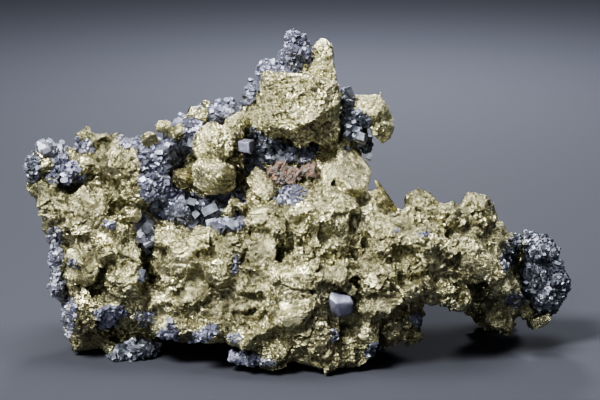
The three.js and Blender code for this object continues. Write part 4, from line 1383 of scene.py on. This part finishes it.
# name, patches, seed, forms, what they may sit on, finish, slot
PATCH_PIECES = [
    ("dark_galena_in_patches", DARK_AND_SHADED_PATCHES, 53, CUBES, ON_MASS | ON_ENDS, DARK_GALENA, "dark_galena"),
    ("galena_in_patches", GALENA_PATCHES, 47, CUBES, ON_MASS, GALENA, "galena"),
    ("galena_plates", PLATE_PATCHES, 61, ["plate"], ON_MASS | ON_LEFT, PALE_GALENA, "galena"),
]
for name, patches, seed, forms, allowed, material, slot in PATCH_PIECES:
    rows = patch_rows(patches, np.random.default_rng(seed), forms, allowed)
    delivered(gathered(name, rows), name, [], material)

# Single crystals, with rows like those of the lumps.
LARGER_GALENA = [
    (-32, 59.4, 2.8, 1.5, 1.4, 1.4, "cube", 10, -10, -28),
    (-24.4, 53.6, 1.6, 1.5, 1.5, 1.8, "cube", 30, 10, 40),
    (-31.6, 54.4, 1.8, 1.2, 1.3, 1.2, "cube", 26, 0, -14),
    (-39, 62, 1.3, 1.2, 1.2, 1.2, "cube", 24, 12, 20),
    (-37, 57.6, 1.2, 1.2, 1.2, 1.2, "cube", 14, -20, 40),
    (-52.4, 61, 1.1, 1.3, 1.1, 1.2, "cube", 20, 10, 10), (-50.6, 80, 1.1, 0.8, 1, 1.2, "cube", 30, 0, 0),
    (-39.4, 83.6, 1.1, 1.4, 1.1, 1, "cube", 20, 10, 20),
    (23.2, 85.6, 2.1, 1.9, 2, 2.4, "skew", 12, -10, 20), (19, 102.4, 1, 1.8, 1, 0.8, "cube", 10, 20, -20),
    (26.4, 78.6, 0.9, 1, 0.9, 1, "cube", 24, 10, 30),
    (-55.4, 52.6, 1.4, 1.8, 1, 1.8, "plate", 14, 20, 30),
    (-57.4, 36, 1.2, 1.4, 1, 1.4, "cube", 20, 10, 20), (-68.6, 22.6, 1.6, 1, 1, 0.8, "cube", 26, 0, -10),
    (-46.8, 18.4, 1.1, 0.9, 1, 0.8, "cube", 24, 0, 0),
]
larger = gathered("larger_galena", [front_lump(row) for row in LARGER_GALENA])
finish_with(larger, "BEVEL", width=0.16, segments=2)
delivered(larger, "larger_galena_crystals", [], DARK_GALENA)

SMALL_BRASS = [
    (-54.6, 86, 2.6, 1.6, 2, 1.4, "skew", 34, 0, -20), (-49.4, 90, 2.6, 1.8, 2, 1.2, "grain", 30, 0, -10),
    (-53.4, 83.8, 2.6, 1.2, 2, 1.8, "ridge", 36, 0, -24),
    (-42.6, 88, 3.2, 2.4, 2.6, 1.6, "skew", 30, -8, -14),
    (-46.4, 87.6, 2, 1.8, 2, 1.4, "grain", 26, 10, 0),
    (-38.6, 94.4, 2, 2.6, 2.2, 1.4, "skew", 28, -8, 10),
    (-35.2, 94, 2, 2.4, 2.2, 1.4, "block", 28, 8, 20),
    (-33.4, 97.6, 1.8, 1.4, 1.8, 1, "grain", 28, 8, 20),
    (-25.6, 58.4, 1.9, 2.2, 2, 2, "skew", 34, -10, 20), (-22, 61.4, 2.8, 1.4, 2, 2, "ridge", 34, 10, 36),
    (-91.6, 66.6, 2.2, 1.8, 2, 1, "block", 26, -14, 10),
]
crystals = gathered("small_brass_crystals", [front_lump(row) for row in SMALL_BRASS])
skins(crystals, 0.35)
shape_nodes(crystals, "skin", lambda geometry, position: roughened(geometry, position, 0.1, 0.6, False))
finished_skin(crystals, 16000)
delivered(crystals, "small_brass_crystals", [], BRASS)

upper_pale = hull("upper_pale_crystal", [
    (-61.8, 78.4, 0), (-59.2, 79.4, 0.4), (-57, 77.8, 0), (-56.8, 75.2, 0), (-58.6, 72.8, -0.4),
    (-60.6, 73, -0.6), (-62, 75.6, 0), (-60, 77, -2.2), (-58.8, 75.2, -2.4), (-60, 76, 4),
], on_front(-59.4, 76.0).y)
skins(upper_pale, 0.3)
finish_with(upper_pale, "SMOOTH", factor=0.5, iterations=2)
finished_skin(upper_pale, 5000)
delivered(upper_pale, "upper_pale_crystal", [], PALE_BRASS_AND_HIGHLIGHT)
